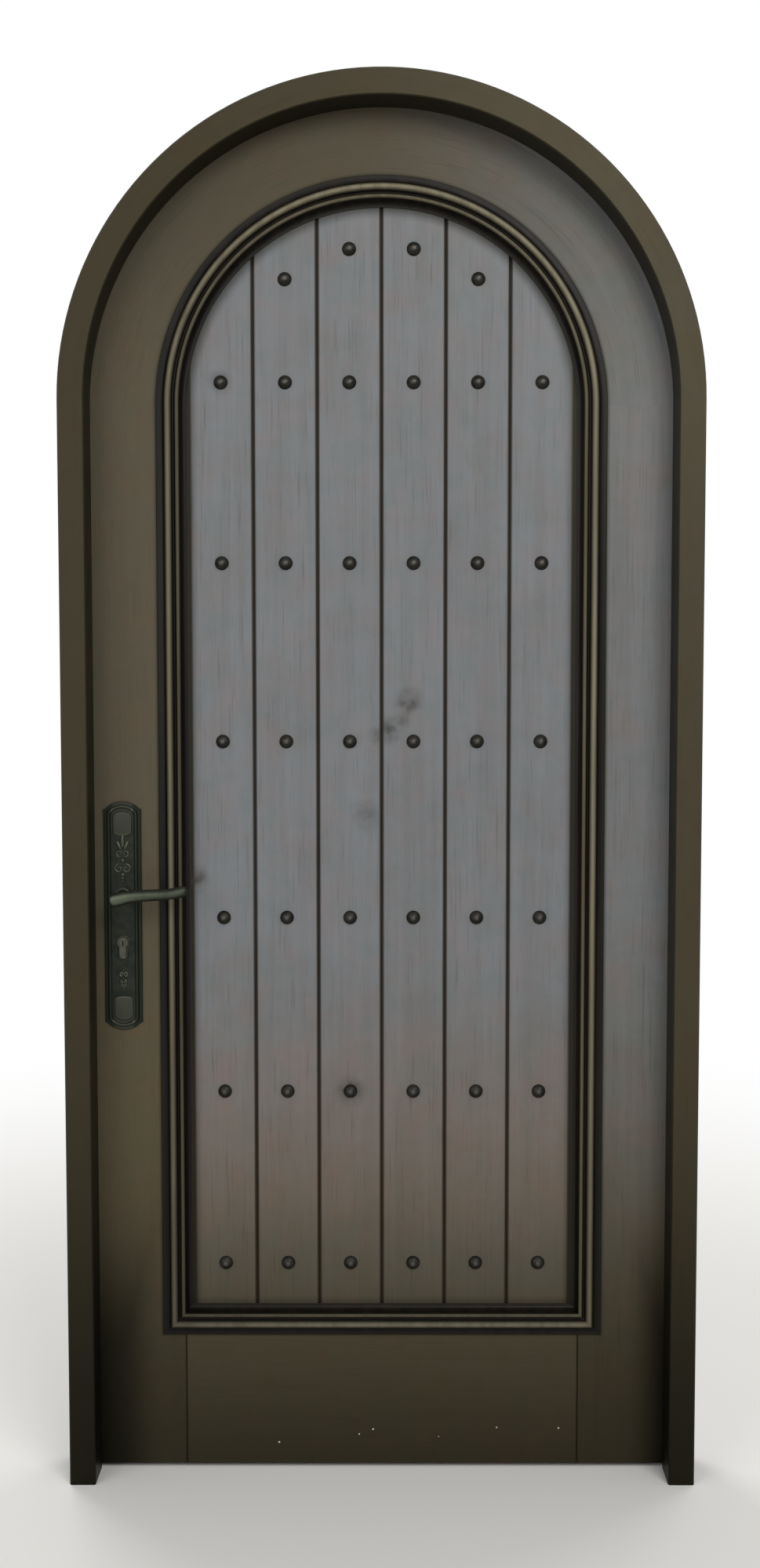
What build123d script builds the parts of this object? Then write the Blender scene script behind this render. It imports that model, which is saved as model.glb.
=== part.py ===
from build123d import *
import os
from math import acos, cos, pi, sin, sqrt

# A round-headed door of upright boards in its own arched frame, in millimetres.
# X runs across the door towards its hinges, Y into the building and Z up.
# The origin is on the floor, in the middle of the opening and of the leaf's thickness.
# Someone outside looks along +Y, and the leaf swings away from them.

# Frame
frame_width = 970.0  # over both jambs
arch_centre_z = 1667.0  # centre of every arc of the head, above the floor
frame_face = 40.0  # width of the jambs' and the head's front face
rebate_width = 15.0  # what the leaf closes on
reveal_depth = 60.0  # the leaf's face behind the frame's front
frame_arris = 2.0  # taken off the frame's front edges
frame_tenon_width = 16.0
frame_tenon_depth = 28.0
frame_tenon_height = 45.0
fixing_hole_radius = 4.0  # holes for the screws into the wall
fixing_clearance = 60.0  # from those holes to the nearest hinge or the strike plate

# Leaf
leaf_thickness = 45.0
edge_gap = 3.0  # leaf to frame, at the sides and the head
stop_gap = 1.0  # leaf's face to the frame's stop
floor_gap = 7.0
stile_width = 148.0
bottom_rail_top = 253.0
tenon_length = 60.0
tenon_thickness = 15.0
tenon_shoulder = 25.0  # rail left above and below its tenon
head_tenon_width = 80.0
head_tenon_height = 50.0
joint_fit = 0.2  # play of every tenon and tongue in its slot

# Boards
plank_count = 6
outer_board_extra = 13.5  # what the outer boards are wider, under the moulding
plank_thickness = 27.0
plank_vee = 3.0
plank_joint_gap = 0.3
board_tongue_length = 7.0
board_tongue_thickness = 8.0
panel_gap = 1.0  # boards' shoulders to the framing
panel_tongue_length = 11.0
panel_tongue_thickness = 12.0

# Moulding, measured on its section
moulding_on_stile = 36.0
moulding_on_planks = 10.0
moulding_height = 14.5  # big bead's crest above the stile
big_bead_offset = 17.0  # its middle, outwards from the opening's edge
big_bead_radius = 5.5
small_bead_radius = 3.5
bead_step = 3.0  # small bead's crest below the big one's
bead_quirk = 5.0  # groove between the two beads
moulding_edge = 2.5  # upright edge on the stile
moulding_fillet = 3.5  # flat beside that edge
inner_lip = 2.0  # upright edge on the planks
inner_flat = 3.0

# Studs
stud_radius = 11.0
stud_height = 8.0
stud_steps = 3  # straight stretches of the dome's section
stud_sides = 16
stud_crown_radius = 1.5  # flat at the top of the dome
stud_rows = 6
first_stud_row = 76.0  # above the bottom rail
last_stud_row = 37.0  # above the arch's centre
stud_arc_inset = 66.5  # four more studs, on an arc this far inside the opening
stud_shank = 3.6  # side of the square shank
stud_shank_length = 16.0

# Lock plates and levers
backset = 55.0  # leaf's edge to the spindle
hub_z = 914.0
lock_centres = 72.0  # spindle to cylinder
plate_width = 58.0
plate_height = 358.0
plate_below_hub = 210.0
plate_base = 3.0
plate_rim_inset = 5.0
plate_rim_width = 6.0
plate_rim_height = 3.0
plate_rim_slope = 28.0  # degrees off square
plate_shoulder = 2.5
plate_crown = 12.0  # rise of the arc at each end
panel_height = 34.0  # raised bare panel at each end of the sunk field
panel_relief = 1.6
panel_side_gap = 3.0  # panel to rim
panel_end_gap = 4.0
collar_radius = 13.0
collar_height = 2.5
bolt_from_end = 24.0
plate_bolt_radius = 2.5
plate_bolt_length_gap = 1.0  # from the bolt's end to the leaf's front face
bolt_boss_wall = 1.5  # metal round the threaded holes behind the outside plate
bolt_boss_length = 10.0
bolt_head_extra = 2.0  # head's radius over the shank's
bolt_head_height = 2.0
lever_projection = 60.0  # from the leaf's face
lever_line = ((-12, -1), (0, 1.5), (18, 5.3), (42, 7.2), (66, 8.4), (84, 10), (95, 12.4), (105, 16))
lever_stations = (0.0, 0.04, 0.1, 0.25, 0.45, 0.65, 0.8, 0.9, 0.97, 1.0)  # along that line
lever_fullness = (0.4, 0.8, 1.0, 1.0, 1.0, 1.0, 1.0, 1.0, 0.8, 0.4)  # share of the full oval there
lever_tall = 21.0  # height of the grip over the neck
lever_tip_tall = 15.0
lever_deep = 16.0  # front to back over the neck
lever_tip_deep = 11.5
lever_sides = 10
neck_radius = 8.5
spindle_side = 8.0
turning_gap = 0.1  # radial play of everything that turns

# Mortise lock and its cylinder
case_depth = 84.0
case_thickness = 15.0
case_wall = 1.5
case_above_hub = 55.0
case_below_cylinder = 38.0
forend_length = 235.0
forend_width = 22.0
forend_thickness = 3.0
latch_rise = 24.0  # latch above the spindle
latch_throw = 12.0
latch_height = 18.0
latch_thickness = 11.0
latch_head_length = 16.0  # behind the forend
latch_blunt_tip = 2.0  # left square at the end of its bevel
latch_tail_height = 6.0
latch_tail_rise = 2.0  # tail's middle over the head's
latch_lug_width = 6.0
latch_lug_gap = 2.0  # follower's arm to the lug
latch_lug_overlap = 5.0  # lug below the arm's end
deadbolt_rise = 30.0  # deadbolt above the cylinder
deadbolt_throw = 20.0
deadbolt_height = 22.0
deadbolt_thickness = 10.0
deadbolt_tail = 10.0  # beyond the spindle's middle
deadbolt_notch_width = 12.0
deadbolt_notch_depth = 6.0
bolt_play = 0.4
pocket_play = 1.0  # round the bolts in the strike plate
mortise_play = 1.0  # in the stile, round the case, the follower and the cylinder
forend_screw_from_end = 12.0
follower_radius = 9.0
follower_arm = 19.0  # from the spindle's middle to the arm's end
follower_arm_width = 8.0
tail_thickness = 5.0  # of the follower's arm and of the latch's tail and lug
cylinder_head_radius = 8.5
cylinder_web = 10.0
cylinder_drop = 33.0
cylinder_length = 66.0
plug_radius = 6.5
cam_radius = 14.0
cam_width = 9.0
cam_fin_width = 6.0
cam_ring_inset = 0.5  # cam's ring inside the cylinder's head
cam_fin_inset = 1.0  # cam's fin inside its turning circle
keyway_width = 1.6
keyway_drop = 4.5
keyway_rise = 3.5
keyway_depth = 24.0
cylinder_screw_radius = 2.5
cylinder_screw_rise = 1.0  # above the middle of the cylinder's foot
cylinder_screw_head_extra = 1.5
cylinder_screw_head_height = 2.0

# Hinges
bottom_hinge_z = 225.0
top_hinge_drop = 122.0  # below the arch's centre
hinge_length = 102.0
hinge_leaf_width = 30.0
hinge_leaf_thickness = 2.5
knuckle_radius = 7.0
knuckle_cap = 4.0  # closed end over the pin
washer_thickness = 1.5
knuckle_stand_off = 8.5  # pin's axis behind the leaf's back
pin_radius = 4.0
screw_radius = 2.1
screw_head_radius = 4.2
screw_length = 19.0
screw_sides = 8
hinge_screw_pitch = 38.0  # one to the next along the hinge
hinge_screw_near = 9.0  # outer two, in from the leaf's back
hinge_screw_far = 21.5  # middle one
pin_end_gap = 1.0  # pin's top to the end of its bore
washer_inset = 0.5  # washer's edge inside the knuckle's

# Places that follow from these
outer_radius = frame_width / 2
stop_radius = outer_radius - frame_face
rebate_radius = stop_radius + rebate_width
leaf_radius = rebate_radius - edge_gap
opening_radius = leaf_radius - stile_width
leaf_front = -leaf_thickness / 2
leaf_back = leaf_thickness / 2
stop_y = leaf_front - stop_gap
frame_front = leaf_front - reveal_depth
plank_front = -plank_thickness / 2
spindle_x = -leaf_radius + backset
cylinder_z = hub_z - lock_centres
plate_centre_z = hub_z - plate_below_hub + plate_height / 2
latch_z = hub_z + latch_rise
deadbolt_z = cylinder_z + deadbolt_rise
plank_pitch = 2 * (opening_radius - outer_board_extra) / plank_count
stud_arc_radius = opening_radius - stud_arc_inset
case_low = cylinder_z - case_below_cylinder
case_high = hub_z + case_above_hub
forend_middle_z = (case_low + case_high) / 2
case_front_x = -leaf_radius + forend_thickness
case_back_x = -leaf_radius + case_depth
top_hinge_z = arch_centre_z - top_hinge_drop
hinge_heights = (bottom_hinge_z, (bottom_hinge_z + top_hinge_z) / 2, top_hinge_z)
hinge_x = (leaf_radius + rebate_radius) / 2
hinge_y = leaf_back + knuckle_stand_off
arch_axis = Axis((0, 0, arch_centre_z), (0, -1, 0))


def block(x, y, z):
    """A box from the lowest and highest value along each axis."""
    size = [high - low for low, high in (x, y, z)]
    middle = [(high + low) / 2 for low, high in (x, y, z)]
    return Pos(*middle) * Box(*size)


def upright(outline, z_from, z_to):
    """Extrude an outline drawn in X and Y between two heights."""
    return extrude(Pos(0, 0, z_from) * outline, z_to - z_from, dir=(0, 0, 1))


def slab(outline, y_from, y_to):
    """Extrude an outline drawn in X and Z between two depths."""
    return extrude(Plane.XZ.offset(-y_to) * outline, y_to - y_from, dir=(0, -1, 0))


def rod(radius, x, z, y_from, y_to):
    """A round bar along Y."""
    return slab(Pos(x, z) * Circle(radius), y_from, y_to)


def cross_rod(radius, y, z, x_from, x_to):
    """A round bar along X."""
    return extrude(Plane((x_from, y, z), z_dir=(1, 0, 0)) * Circle(radius), x_to - x_from)


def arched_outline(radius, bottom_z):
    """The outline in X and Z of an opening with a semicircular head."""
    spring = arch_centre_z
    edges = [
        Line((-radius, bottom_z), (radius, bottom_z)),
        Line((radius, bottom_z), (radius, spring)),
        ThreePointArc((radius, spring), (0, spring + radius), (-radius, spring)),
        Line((-radius, spring), (-radius, bottom_z)),
    ]
    return make_face(edges)


def around_arch(section):
    """Revolve a section drawn in radius and depth over the head, from side to side."""
    return revolve(Pos(0, 0, arch_centre_z) * section, axis=arch_axis, revolution_arc=180)


def save(node, *solids):
    """Write one node's solids to its own STEP file."""
    bodies = [s for piece in solids for s in piece.solids()]
    shape = bodies[0] if len(bodies) == 1 else Compound(children=bodies)
    shape.label = node
    export_step(shape, os.path.join("parts", node + ".step"))


# Frame


def frame_section():
    """Section of the frame in radius and depth: face, outer side, back, rebate and stop."""
    outline = Polygon(
        (stop_radius, frame_front),
        (outer_radius, frame_front),
        (outer_radius, leaf_back),
        (rebate_radius, leaf_back),
        (rebate_radius, stop_y),
        (stop_radius, stop_y),
        align=None,
    )
    front = outline.vertices().group_by(Axis.Y)[0]
    return chamfer(front, frame_arris)


def frame_tenon(play):
    """Tenon on a jamb's top, or with play its mortise in the head, on the hinge side."""
    middle_x = (stop_radius + outer_radius) / 2
    middle_y = (frame_front + stop_y) / 2
    width = frame_tenon_width + 2 * play
    depth = frame_tenon_depth + 2 * play
    return block(
        (middle_x - width / 2, middle_x + width / 2),
        (middle_y - depth / 2, middle_y + depth / 2),
        (arch_centre_z, arch_centre_z + frame_tenon_height + play),
    )


def fixing_heights():
    """Z of the wall screws: under both outer hinges, and under and over the strike plate."""
    under_hinge = hinge_length / 2 + fixing_clearance
    off_strike = forend_length / 2 + fixing_clearance
    lowest = bottom_hinge_z - under_hinge
    return lowest, forend_middle_z - off_strike, forend_middle_z + off_strike, top_hinge_z - under_hinge


def fixing_holes():
    """Holes through the rebate for the screws into the wall, on the hinge side."""
    return [cross_rod(fixing_hole_radius, 0, z, rebate_radius, outer_radius) for z in fixing_heights()]


def plain_jamb():
    """The hinge side's jamb before its hinges are let in."""
    return upright(frame_section(), 0, arch_centre_z) + frame_tenon(0) - fixing_holes()


def head_arch():
    """The frame's semicircular head, mortised for both jambs."""
    mortise = frame_tenon(joint_fit)
    return around_arch(frame_section()) - mortise - mirror(mortise, about=Plane.YZ)


def bolt_pocket(z, height, thickness):
    """Hole in the strike plate and the jamb behind it, for the latch or the deadbolt."""
    floor = -rebate_radius - deadbolt_throw
    return block(
        (floor, -rebate_radius),
        (-thickness / 2 - pocket_play, thickness / 2 + pocket_play),
        (z - height / 2 - pocket_play, z + height / 2 + pocket_play),
    )


def strike_pockets():
    """Both holes that the lock's bolts enter."""
    latch = bolt_pocket(latch_z, latch_height, latch_thickness)
    return [latch, bolt_pocket(deadbolt_z, deadbolt_height, deadbolt_thickness)]


def strike_seat():
    """Room for the strike plate, let into the rebate opposite the forend."""
    return block(
        (-rebate_radius - forend_thickness, -rebate_radius),
        (-forend_width / 2, forend_width / 2),
        (forend_middle_z - forend_length / 2, forend_middle_z + forend_length / 2),
    )


def side_screws(face_x, inward, places, play=0.0):
    """Countersunk screws along X at (y, z) places. Play widens them into their holes."""
    slope = screw_head_radius - screw_radius
    round_head = RegularPolygon(screw_head_radius + play, screw_sides)
    round_shank = RegularPolygon(screw_radius + play, screw_sides)
    head = loft([round_head, Pos(0, 0, slope) * round_shank])
    shank = extrude(Pos(0, 0, slope) * round_shank, screw_length - slope + play)
    turned = Rot(0, 90 * inward, 0) * (head + shank)
    return [Pos(face_x, y, z) * turned for y, z in places]


def strike_screws(play=0.0):
    """Screws at the strike plate's ends."""
    return side_screws(-rebate_radius, -1, forend_screw_places(), play)


def forend_screw_places():
    """Y and Z of the two screws near the ends of the forend and of the strike plate."""
    reach = forend_length / 2 - forend_screw_from_end
    return [(0, forend_middle_z - reach), (0, forend_middle_z + reach)]


def latch_jamb():
    """The jamb on the lock's side."""
    jamb = mirror(plain_jamb(), about=Plane.YZ)
    return jamb - strike_seat() - strike_pockets() - strike_screws(joint_fit)


def strike_plate():
    """Steel plate that the latch and the deadbolt engage."""
    return strike_seat() - strike_pockets() - strike_screws(joint_fit)


# Leaf


def panel_slot(play):
    """The boards' tongue all round the opening, or with play the groove for it."""
    reach = panel_tongue_length - panel_gap + play
    thickness = panel_tongue_thickness / 2 + play
    outline = arched_outline(opening_radius + reach, bottom_rail_top - reach)
    return slab(outline, -thickness, thickness)


def rail_tenons(play):
    """Tenons of the bottom rail, or with play their mortises in both stiles."""
    reach = opening_radius + tenon_length + play
    thickness = tenon_thickness / 2 + play
    low = floor_gap + tenon_shoulder - play
    return block((-reach, reach), (-thickness, thickness), (low, bottom_rail_top - tenon_shoulder + play))


def head_tenon(play):
    """Tenon on a stile's top, or with play its mortise in the arched rail, hinge side."""
    middle = (opening_radius + leaf_radius) / 2
    width = head_tenon_width / 2 + play
    thickness = tenon_thickness / 2 + play
    top = arch_centre_z + head_tenon_height + play
    return block((middle - width, middle + width), (-thickness, thickness), (arch_centre_z, top))


def plain_stile():
    """The hinge side's stile, grooved and mortised, before its hinges are let in."""
    body = block((opening_radius, leaf_radius), (leaf_front, leaf_back), (floor_gap, arch_centre_z))
    return body + head_tenon(0) - panel_slot(joint_fit) - rail_tenons(joint_fit)


def bottom_rail():
    """Bottom rail between the stiles, with its tenons."""
    body = block((-opening_radius, opening_radius), (leaf_front, leaf_back), (floor_gap, bottom_rail_top))
    return body - panel_slot(joint_fit) + rail_tenons(0)


def arched_rail():
    """The leaf's semicircular top rail."""
    width = leaf_radius - opening_radius
    section = Pos((leaf_radius + opening_radius) / 2, 0) * Rectangle(width, leaf_thickness)
    mortise = head_tenon(joint_fit)
    return around_arch(section) - panel_slot(joint_fit) - mortise - mirror(mortise, about=Plane.YZ)


def tongue_edge(x):
    """Board's right edge in plan: two V corners and a tongue, from front to back."""
    side = x - plank_joint_gap / 2
    face = plank_thickness / 2
    tongue = board_tongue_thickness / 2
    reach = side + board_tongue_length
    front = [(x - plank_vee, -face), (side, plank_vee - face), (side, -tongue), (reach, -tongue)]
    return front + [(px, -py) for px, py in reversed(front)]


def groove_edge(x):
    """Board's left edge in plan: two V corners and a groove, from back to front."""
    side = x + plank_joint_gap / 2
    face = plank_thickness / 2
    groove = board_tongue_thickness / 2 + joint_fit
    reach = side + board_tongue_length + joint_fit
    back = [(x + plank_vee, face), (side, face - plank_vee), (side, groove), (reach, groove)]
    return back + [(px, -py) for px, py in reversed(back)]


def square_edge(x, front_first):
    """An outer board's edge in plan, which stands in the stile's groove."""
    face = plank_thickness / 2
    edge = [(x, -face), (x, face)]
    return edge if front_first else edge[::-1]


def plank_plan(index):
    """One board's outline in plan."""
    left = (index - plank_count / 2) * plank_pitch
    right = left + plank_pitch
    beyond = opening_radius + panel_tongue_length
    last = plank_count - 1
    right_edge = square_edge(beyond, True) if index == last else tongue_edge(right)
    left_edge = square_edge(-beyond, False) if index == 0 else groove_edge(left)
    return Polygon(*right_edge, *left_edge, align=None)


def panel_blank():
    """All boards as one piece: the panel between the framing and its tongue all round."""
    outline = arched_outline(opening_radius - panel_gap, bottom_rail_top + panel_gap)
    return slab(outline, plank_front, -plank_front) + panel_slot(0)


def planks():
    """The boards, cut from the panel, with square holes for the studs."""
    blank = panel_blank()
    top = arch_centre_z + opening_radius + panel_tongue_length
    boards = []
    for index in range(plank_count):
        left = (index - plank_count / 2) * plank_pitch
        holes = [stud_shank_at(x, z, joint_fit / 2) for x, z in stud_places() if 0 < x - left < plank_pitch]
        boards.append((blank & upright(plank_plan(index), 0, top)) - holes)
    return boards


# Moulding


def rounded(middle, radii, from_angle, to_angle, steps):
    """Points along a round or oval stretch of a section, its ends included. Angles in half turns."""
    angles = [pi * (from_angle + (to_angle - from_angle) * step / steps) for step in range(steps + 1)]
    return [(middle[0] + radii[0] * cos(angle), middle[1] + radii[1] * sin(angle)) for angle in angles]


def moulding_section():
    """Bolection section in radius and depth: two beads over the joint of framing and boards."""
    outer = opening_radius + moulding_on_stile
    inner = opening_radius - moulding_on_planks
    big = (opening_radius + big_bead_offset, leaf_front - moulding_height + big_bead_radius)
    small_x = big[0] - big_bead_radius - bead_quirk - small_bead_radius
    small = (small_x, leaf_front - moulding_height + bead_step + small_bead_radius)
    cove_edge = outer - moulding_fillet
    cove_width = cove_edge - big[0] - big_bead_radius
    cove_depth = leaf_front - moulding_edge - big[1]
    throat_edge = inner + inner_flat
    throat_width = small[0] - small_bead_radius - throat_edge
    throat_depth = plank_front - inner_lip - small[1]
    edge = [(outer, leaf_front), (outer, leaf_front - moulding_edge)]
    cove = rounded((cove_edge, big[1]), (cove_width, cove_depth), 0.5, 1, 2)
    big_bead = rounded(big, (big_bead_radius, big_bead_radius), 0, -1, 4)
    small_bead = rounded(small, (small_bead_radius, small_bead_radius), 0, -1, 3)
    throat = rounded((throat_edge, small[1]), (throat_width, throat_depth), 0, 0.5, 2)
    lip = [(inner, plank_front - inner_lip), (inner, plank_front)]
    back_x = opening_radius - joint_fit
    back = [(back_x, plank_front), (back_x, leaf_front)]
    return Polygon(*edge, *cove, *big_bead[1:], *small_bead, *throat[1:], *lip, *back, align=None)


def rear_bead_section():
    """Inside bead's section, as the moulding's but flush with the framing: a square with a rounded edge."""
    outer = opening_radius - joint_fit
    inner = opening_radius - moulding_on_planks
    flat = (outer + inner) / 2
    round_size = (flat - inner, plank_front - leaf_front)
    corner = rounded((flat, plank_front), round_size, 1, 1.5, 3)
    return Polygon(*corner, (outer, leaf_front), (outer, plank_front), align=None)


def mitred(length, *corners):
    """Keep what lies inside the corners, given in X and Z. Their lines are the mitres."""
    return length & slab(Polygon(*corners, align=None), leaf_front - 2 * moulding_height, 0)


def side_moulding(section):
    """Upright length on the hinge side, mitred at its foot."""
    outer = opening_radius + moulding_on_stile
    inner = opening_radius - moulding_on_planks
    foot = bottom_rail_top - moulding_on_stile
    sight = bottom_rail_top + moulding_on_planks
    top = arch_centre_z
    return mitred(upright(section, foot, top), (outer, foot), (outer, top), (inner, top), (inner, sight))


def bottom_moulding(section):
    """Level length between the two mitres."""
    outer = opening_radius + moulding_on_stile
    inner = opening_radius - moulding_on_planks
    foot = bottom_rail_top - moulding_on_stile
    sight = bottom_rail_top + moulding_on_planks
    length = upright(section, -outer, outer)
    laid = Pos(0, 0, bottom_rail_top + opening_radius) * Rot(0, 90, 0) * length
    return mitred(laid, (-outer, foot), (outer, foot), (inner, sight), (-inner, sight))


def four_lengths(section):
    """Arch, both uprights and the bottom length of one moulding, by name."""
    hinge_side = side_moulding(section)
    return {
        "arch": around_arch(section),
        "hinge_side": hinge_side,
        "latch_side": mirror(hinge_side, about=Plane.YZ),
        "bottom": bottom_moulding(section),
    }


# Studs


def stud_places():
    """X and Z of the studs: rows across every board, then four on an arc under the head."""
    columns = [(i + 0.5 - plank_count / 2) * plank_pitch for i in range(plank_count)]
    lowest = bottom_rail_top + first_stud_row
    pitch = (arch_centre_z + last_stud_row - lowest) / (stud_rows - 1)
    rows = [lowest + row * pitch for row in range(stud_rows)]
    crown = [(x, arch_centre_z + sqrt(stud_arc_radius**2 - x**2)) for x in columns[1:-1]]
    return [(x, z) for z in rows for x in columns] + crown


def stud_shank_at(x, z, play):
    """Square shank in the board, or with play the hole for it."""
    half = stud_shank / 2 + play
    depth = plank_front + stud_shank_length + play
    return block((x - half, x + half), (plank_front, depth), (z - half, z + half))


def door_studs():
    """Domed nails, one for each place: a ball's cap in flat facets over a square shank."""
    ball_radius = (stud_radius**2 + stud_height**2) / (2 * stud_height)
    ball_y = plank_front - stud_height + ball_radius
    sweep = acos((ball_radius - stud_height) / ball_radius) / pi
    section = rounded((0, ball_y), (ball_radius, ball_radius), 1.5 + sweep, 1.5, stud_steps)
    rings = section[:-1] + [(stud_crown_radius, plank_front - stud_height)]
    head = loft([Plane.XZ.offset(-y) * RegularPolygon(radius, stud_sides) for radius, y in rings], ruled=True)
    return [Pos(x, 0, z) * head + stud_shank_at(x, z, 0) for x, z in stud_places()]


# Lock plates


def plate_outline():
    """Outline in X and Z of a lock plate: straight sides, shoulders and a low arc at each end."""
    half = plate_width / 2
    end = plate_height / 2
    neck = half - plate_shoulder
    spring = end - plate_crown
    edges = [
        Line((half, -spring), (half, spring)),
        Line((half, spring), (neck, spring)),
        ThreePointArc((neck, spring), (0, end), (-neck, spring)),
        Line((-neck, spring), (-half, spring)),
        Line((-half, spring), (-half, -spring)),
        Line((-half, -spring), (-neck, -spring)),
        ThreePointArc((-neck, -spring), (0, -end), (neck, -spring)),
        Line((neck, -spring), (half, -spring)),
    ]
    return Pos(spindle_x, plate_centre_z) * make_face(edges)


def end_arch_outline(inset):
    """Outline in X and Z that follows the plate's sides and arcs at an inset."""
    half = plate_width / 2 - inset
    end = plate_height / 2 - inset
    spring = end - plate_crown
    edges = [
        Line((half, -spring), (half, spring)),
        ThreePointArc((half, spring), (0, end), (-half, spring)),
        Line((-half, spring), (-half, -spring)),
        ThreePointArc((-half, -spring), (0, -end), (half, -spring)),
    ]
    return Pos(spindle_x, plate_centre_z) * make_face(edges)


def end_panel(towards):
    """Raised bare panel in one end of the sunk field, with a round outer end."""
    half = plate_width / 2 - plate_rim_inset - plate_rim_width - panel_side_gap
    reach = plate_height / 2 - plate_rim_inset - plate_rim_width - panel_end_gap
    inner_end = reach - panel_height
    outer_end = reach - half / 2
    edges = [
        Line((half, inner_end), (half, outer_end)),
        ThreePointArc((half, outer_end), (0, reach), (-half, outer_end)),
        Line((-half, outer_end), (-half, inner_end)),
        Line((-half, inner_end), (half, inner_end)),
    ]
    outline = make_face(edges)
    if towards < 0:
        outline = Rot(0, 0, 180) * outline
    return Pos(spindle_x, plate_centre_z) * outline


def euro_outline(grow):
    """Section in X and Z of a profile cylinder: a round head over a narrow web."""
    foot = cylinder_head_radius - cylinder_drop + cylinder_web / 2
    web = Pos(0, foot / 2) * Rectangle(cylinder_web + 2 * grow, -foot)
    rounds = Circle(cylinder_head_radius + grow) + Pos(0, foot) * Circle(cylinder_web / 2 + grow)
    return Pos(spindle_x, cylinder_z) * (rounds + web)


def plate_bolt_heights():
    """Z of the two bolts that join the plates through the stile."""
    reach = plate_height / 2 - bolt_from_end
    return plate_centre_z - reach, plate_centre_z + reach


def raised(outline, field, slope):
    """Raise an outline in X and Z from the plate's field by the rim's height, with sloping sides."""
    return extrude(Plane.XZ.offset(-field) * outline, plate_rim_height, taper=slope)


def blank_plate():
    """Front plate before anything pierces it: base, raised rim, end panels and collar."""
    base = slab(plate_outline(), leaf_front - plate_base, leaf_front)
    field = leaf_front - plate_base
    rim_outer = end_arch_outline(plate_rim_inset)
    rim_inner = end_arch_outline(plate_rim_inset + plate_rim_width)
    rim = raised(rim_outer, field, plate_rim_slope) - raised(rim_inner, field, -plate_rim_slope)
    panels = slab(end_panel(1) + end_panel(-1), field - panel_relief, field)
    collar = rod(collar_radius, spindle_x, hub_z, field - collar_height, field)
    return base + rim + panels + collar


def pierced(plate):
    """The plate with the openings for the lever's neck and the cylinder."""
    reach = leaf_front - lever_projection
    hub = rod(neck_radius + turning_gap, spindle_x, hub_z, reach, leaf_front)
    return plate - hub - slab(euro_outline(joint_fit), reach, leaf_front)


def front_plate():
    """The outside plate, with threaded bosses behind it for the bolts."""
    boss_end = leaf_front + bolt_boss_length
    outer = plate_bolt_radius + bolt_boss_wall
    inner = plate_bolt_radius + joint_fit / 2
    bosses = [rod(outer, spindle_x, z, leaf_front, boss_end) for z in plate_bolt_heights()]
    tapped = [rod(inner, spindle_x, z, leaf_front, boss_end) for z in plate_bolt_heights()]
    return pierced(blank_plate()) + bosses - tapped


def rear_plate():
    """The inside plate, drilled for the bolts' heads."""
    plate = mirror(pierced(blank_plate()), about=Plane.XZ)
    reach = leaf_back + plate_base + plate_rim_height
    radius = plate_bolt_radius + joint_fit
    return plate - [rod(radius, spindle_x, z, leaf_back, reach) for z in plate_bolt_heights()]


def plate_bolts():
    """Bolts from the inside plate into the outside one."""
    seat = leaf_back + plate_base + panel_relief
    head_radius = plate_bolt_radius + bolt_head_extra
    shank = slab(RegularPolygon(plate_bolt_radius, screw_sides), leaf_front + plate_bolt_length_gap, seat)
    head = slab(RegularPolygon(head_radius, screw_sides), seat, seat + bolt_head_height)
    return [Pos(spindle_x, 0, z) * (shank + head) for z in plate_bolt_heights()]


# Levers, spindle and follower


def lever_grip():
    """Wave-shaped grip, lofted through ovals square to its line."""
    grip_y = leaf_front - lever_projection + lever_deep / 2
    line = Spline([(spindle_x + x, grip_y, hub_z + z) for x, z in lever_line])
    sections = []
    for along, full in zip(lever_stations, lever_fullness):
        tall = (lever_tall + (lever_tip_tall - lever_tall) * along) * full / 2
        deep = (lever_deep + (lever_tip_deep - lever_deep) * along) * full / 2
        oval = Polygon(*rounded((0, 0), (deep, tall), 0, 2, lever_sides)[:-1], align=None)
        sections.append(Plane(line @ along, x_dir=(0, 1, 0), z_dir=line % along) * oval)
    return loft(sections, ruled=True)


def front_lever():
    """Outside lever: neck, grip and the socket for the spindle."""
    grip_y = leaf_front - lever_projection + lever_deep / 2
    neck_end = leaf_front - joint_fit
    neck = rod(neck_radius, spindle_x, hub_z, grip_y, neck_end)
    socket = spindle_bar(joint_fit / 2)
    return neck + lever_grip() - socket


def spindle_bar(play):
    """Square bar through lock and levers, or with play the hole for it."""
    half = spindle_side / 2 + play
    reach = leaf_thickness / 2 + lever_projection / 2 + play
    return block(
        (spindle_x - half, spindle_x + half), (-reach, reach), (hub_z - half, hub_z + half)
    )


def lock_follower():
    """Hub in the lock case that the spindle turns, with the arm that draws the latch."""
    hub = rod(follower_radius, spindle_x, hub_z, -case_thickness / 2, case_thickness / 2)
    half = follower_arm_width / 2
    thickness = tail_thickness / 2
    arm = block((spindle_x - half, spindle_x + half), (-thickness, thickness), (hub_z, hub_z + follower_arm))
    return hub + arm - spindle_bar(joint_fit / 2)


# Mortise lock


def bolt_bar(z, height, thickness, x_from, x_to, play=0.0):
    """Straight bar along X behind the forend, or with play its way."""
    return block(
        (x_from, x_to),
        (-thickness / 2 - play, thickness / 2 + play),
        (z - height / 2 - play, z + height / 2 + play),
    )


def bolt_ways():
    """Windows in the forend and the case for the latch and the deadbolt."""
    x_to = case_front_x + case_wall
    latch = bolt_bar(latch_z, latch_height, latch_thickness, -leaf_radius, x_to, bolt_play)
    dead = bolt_bar(deadbolt_z, deadbolt_height, deadbolt_thickness, -leaf_radius, x_to, bolt_play)
    return [latch, dead]


def case_openings():
    """Holes through both sides of the lock case for the follower and the cylinder."""
    side = case_thickness / 2
    bearing = rod(follower_radius + turning_gap, spindle_x, hub_z, -side, side)
    return [bearing, slab(euro_outline(joint_fit), -side, side)]


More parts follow.
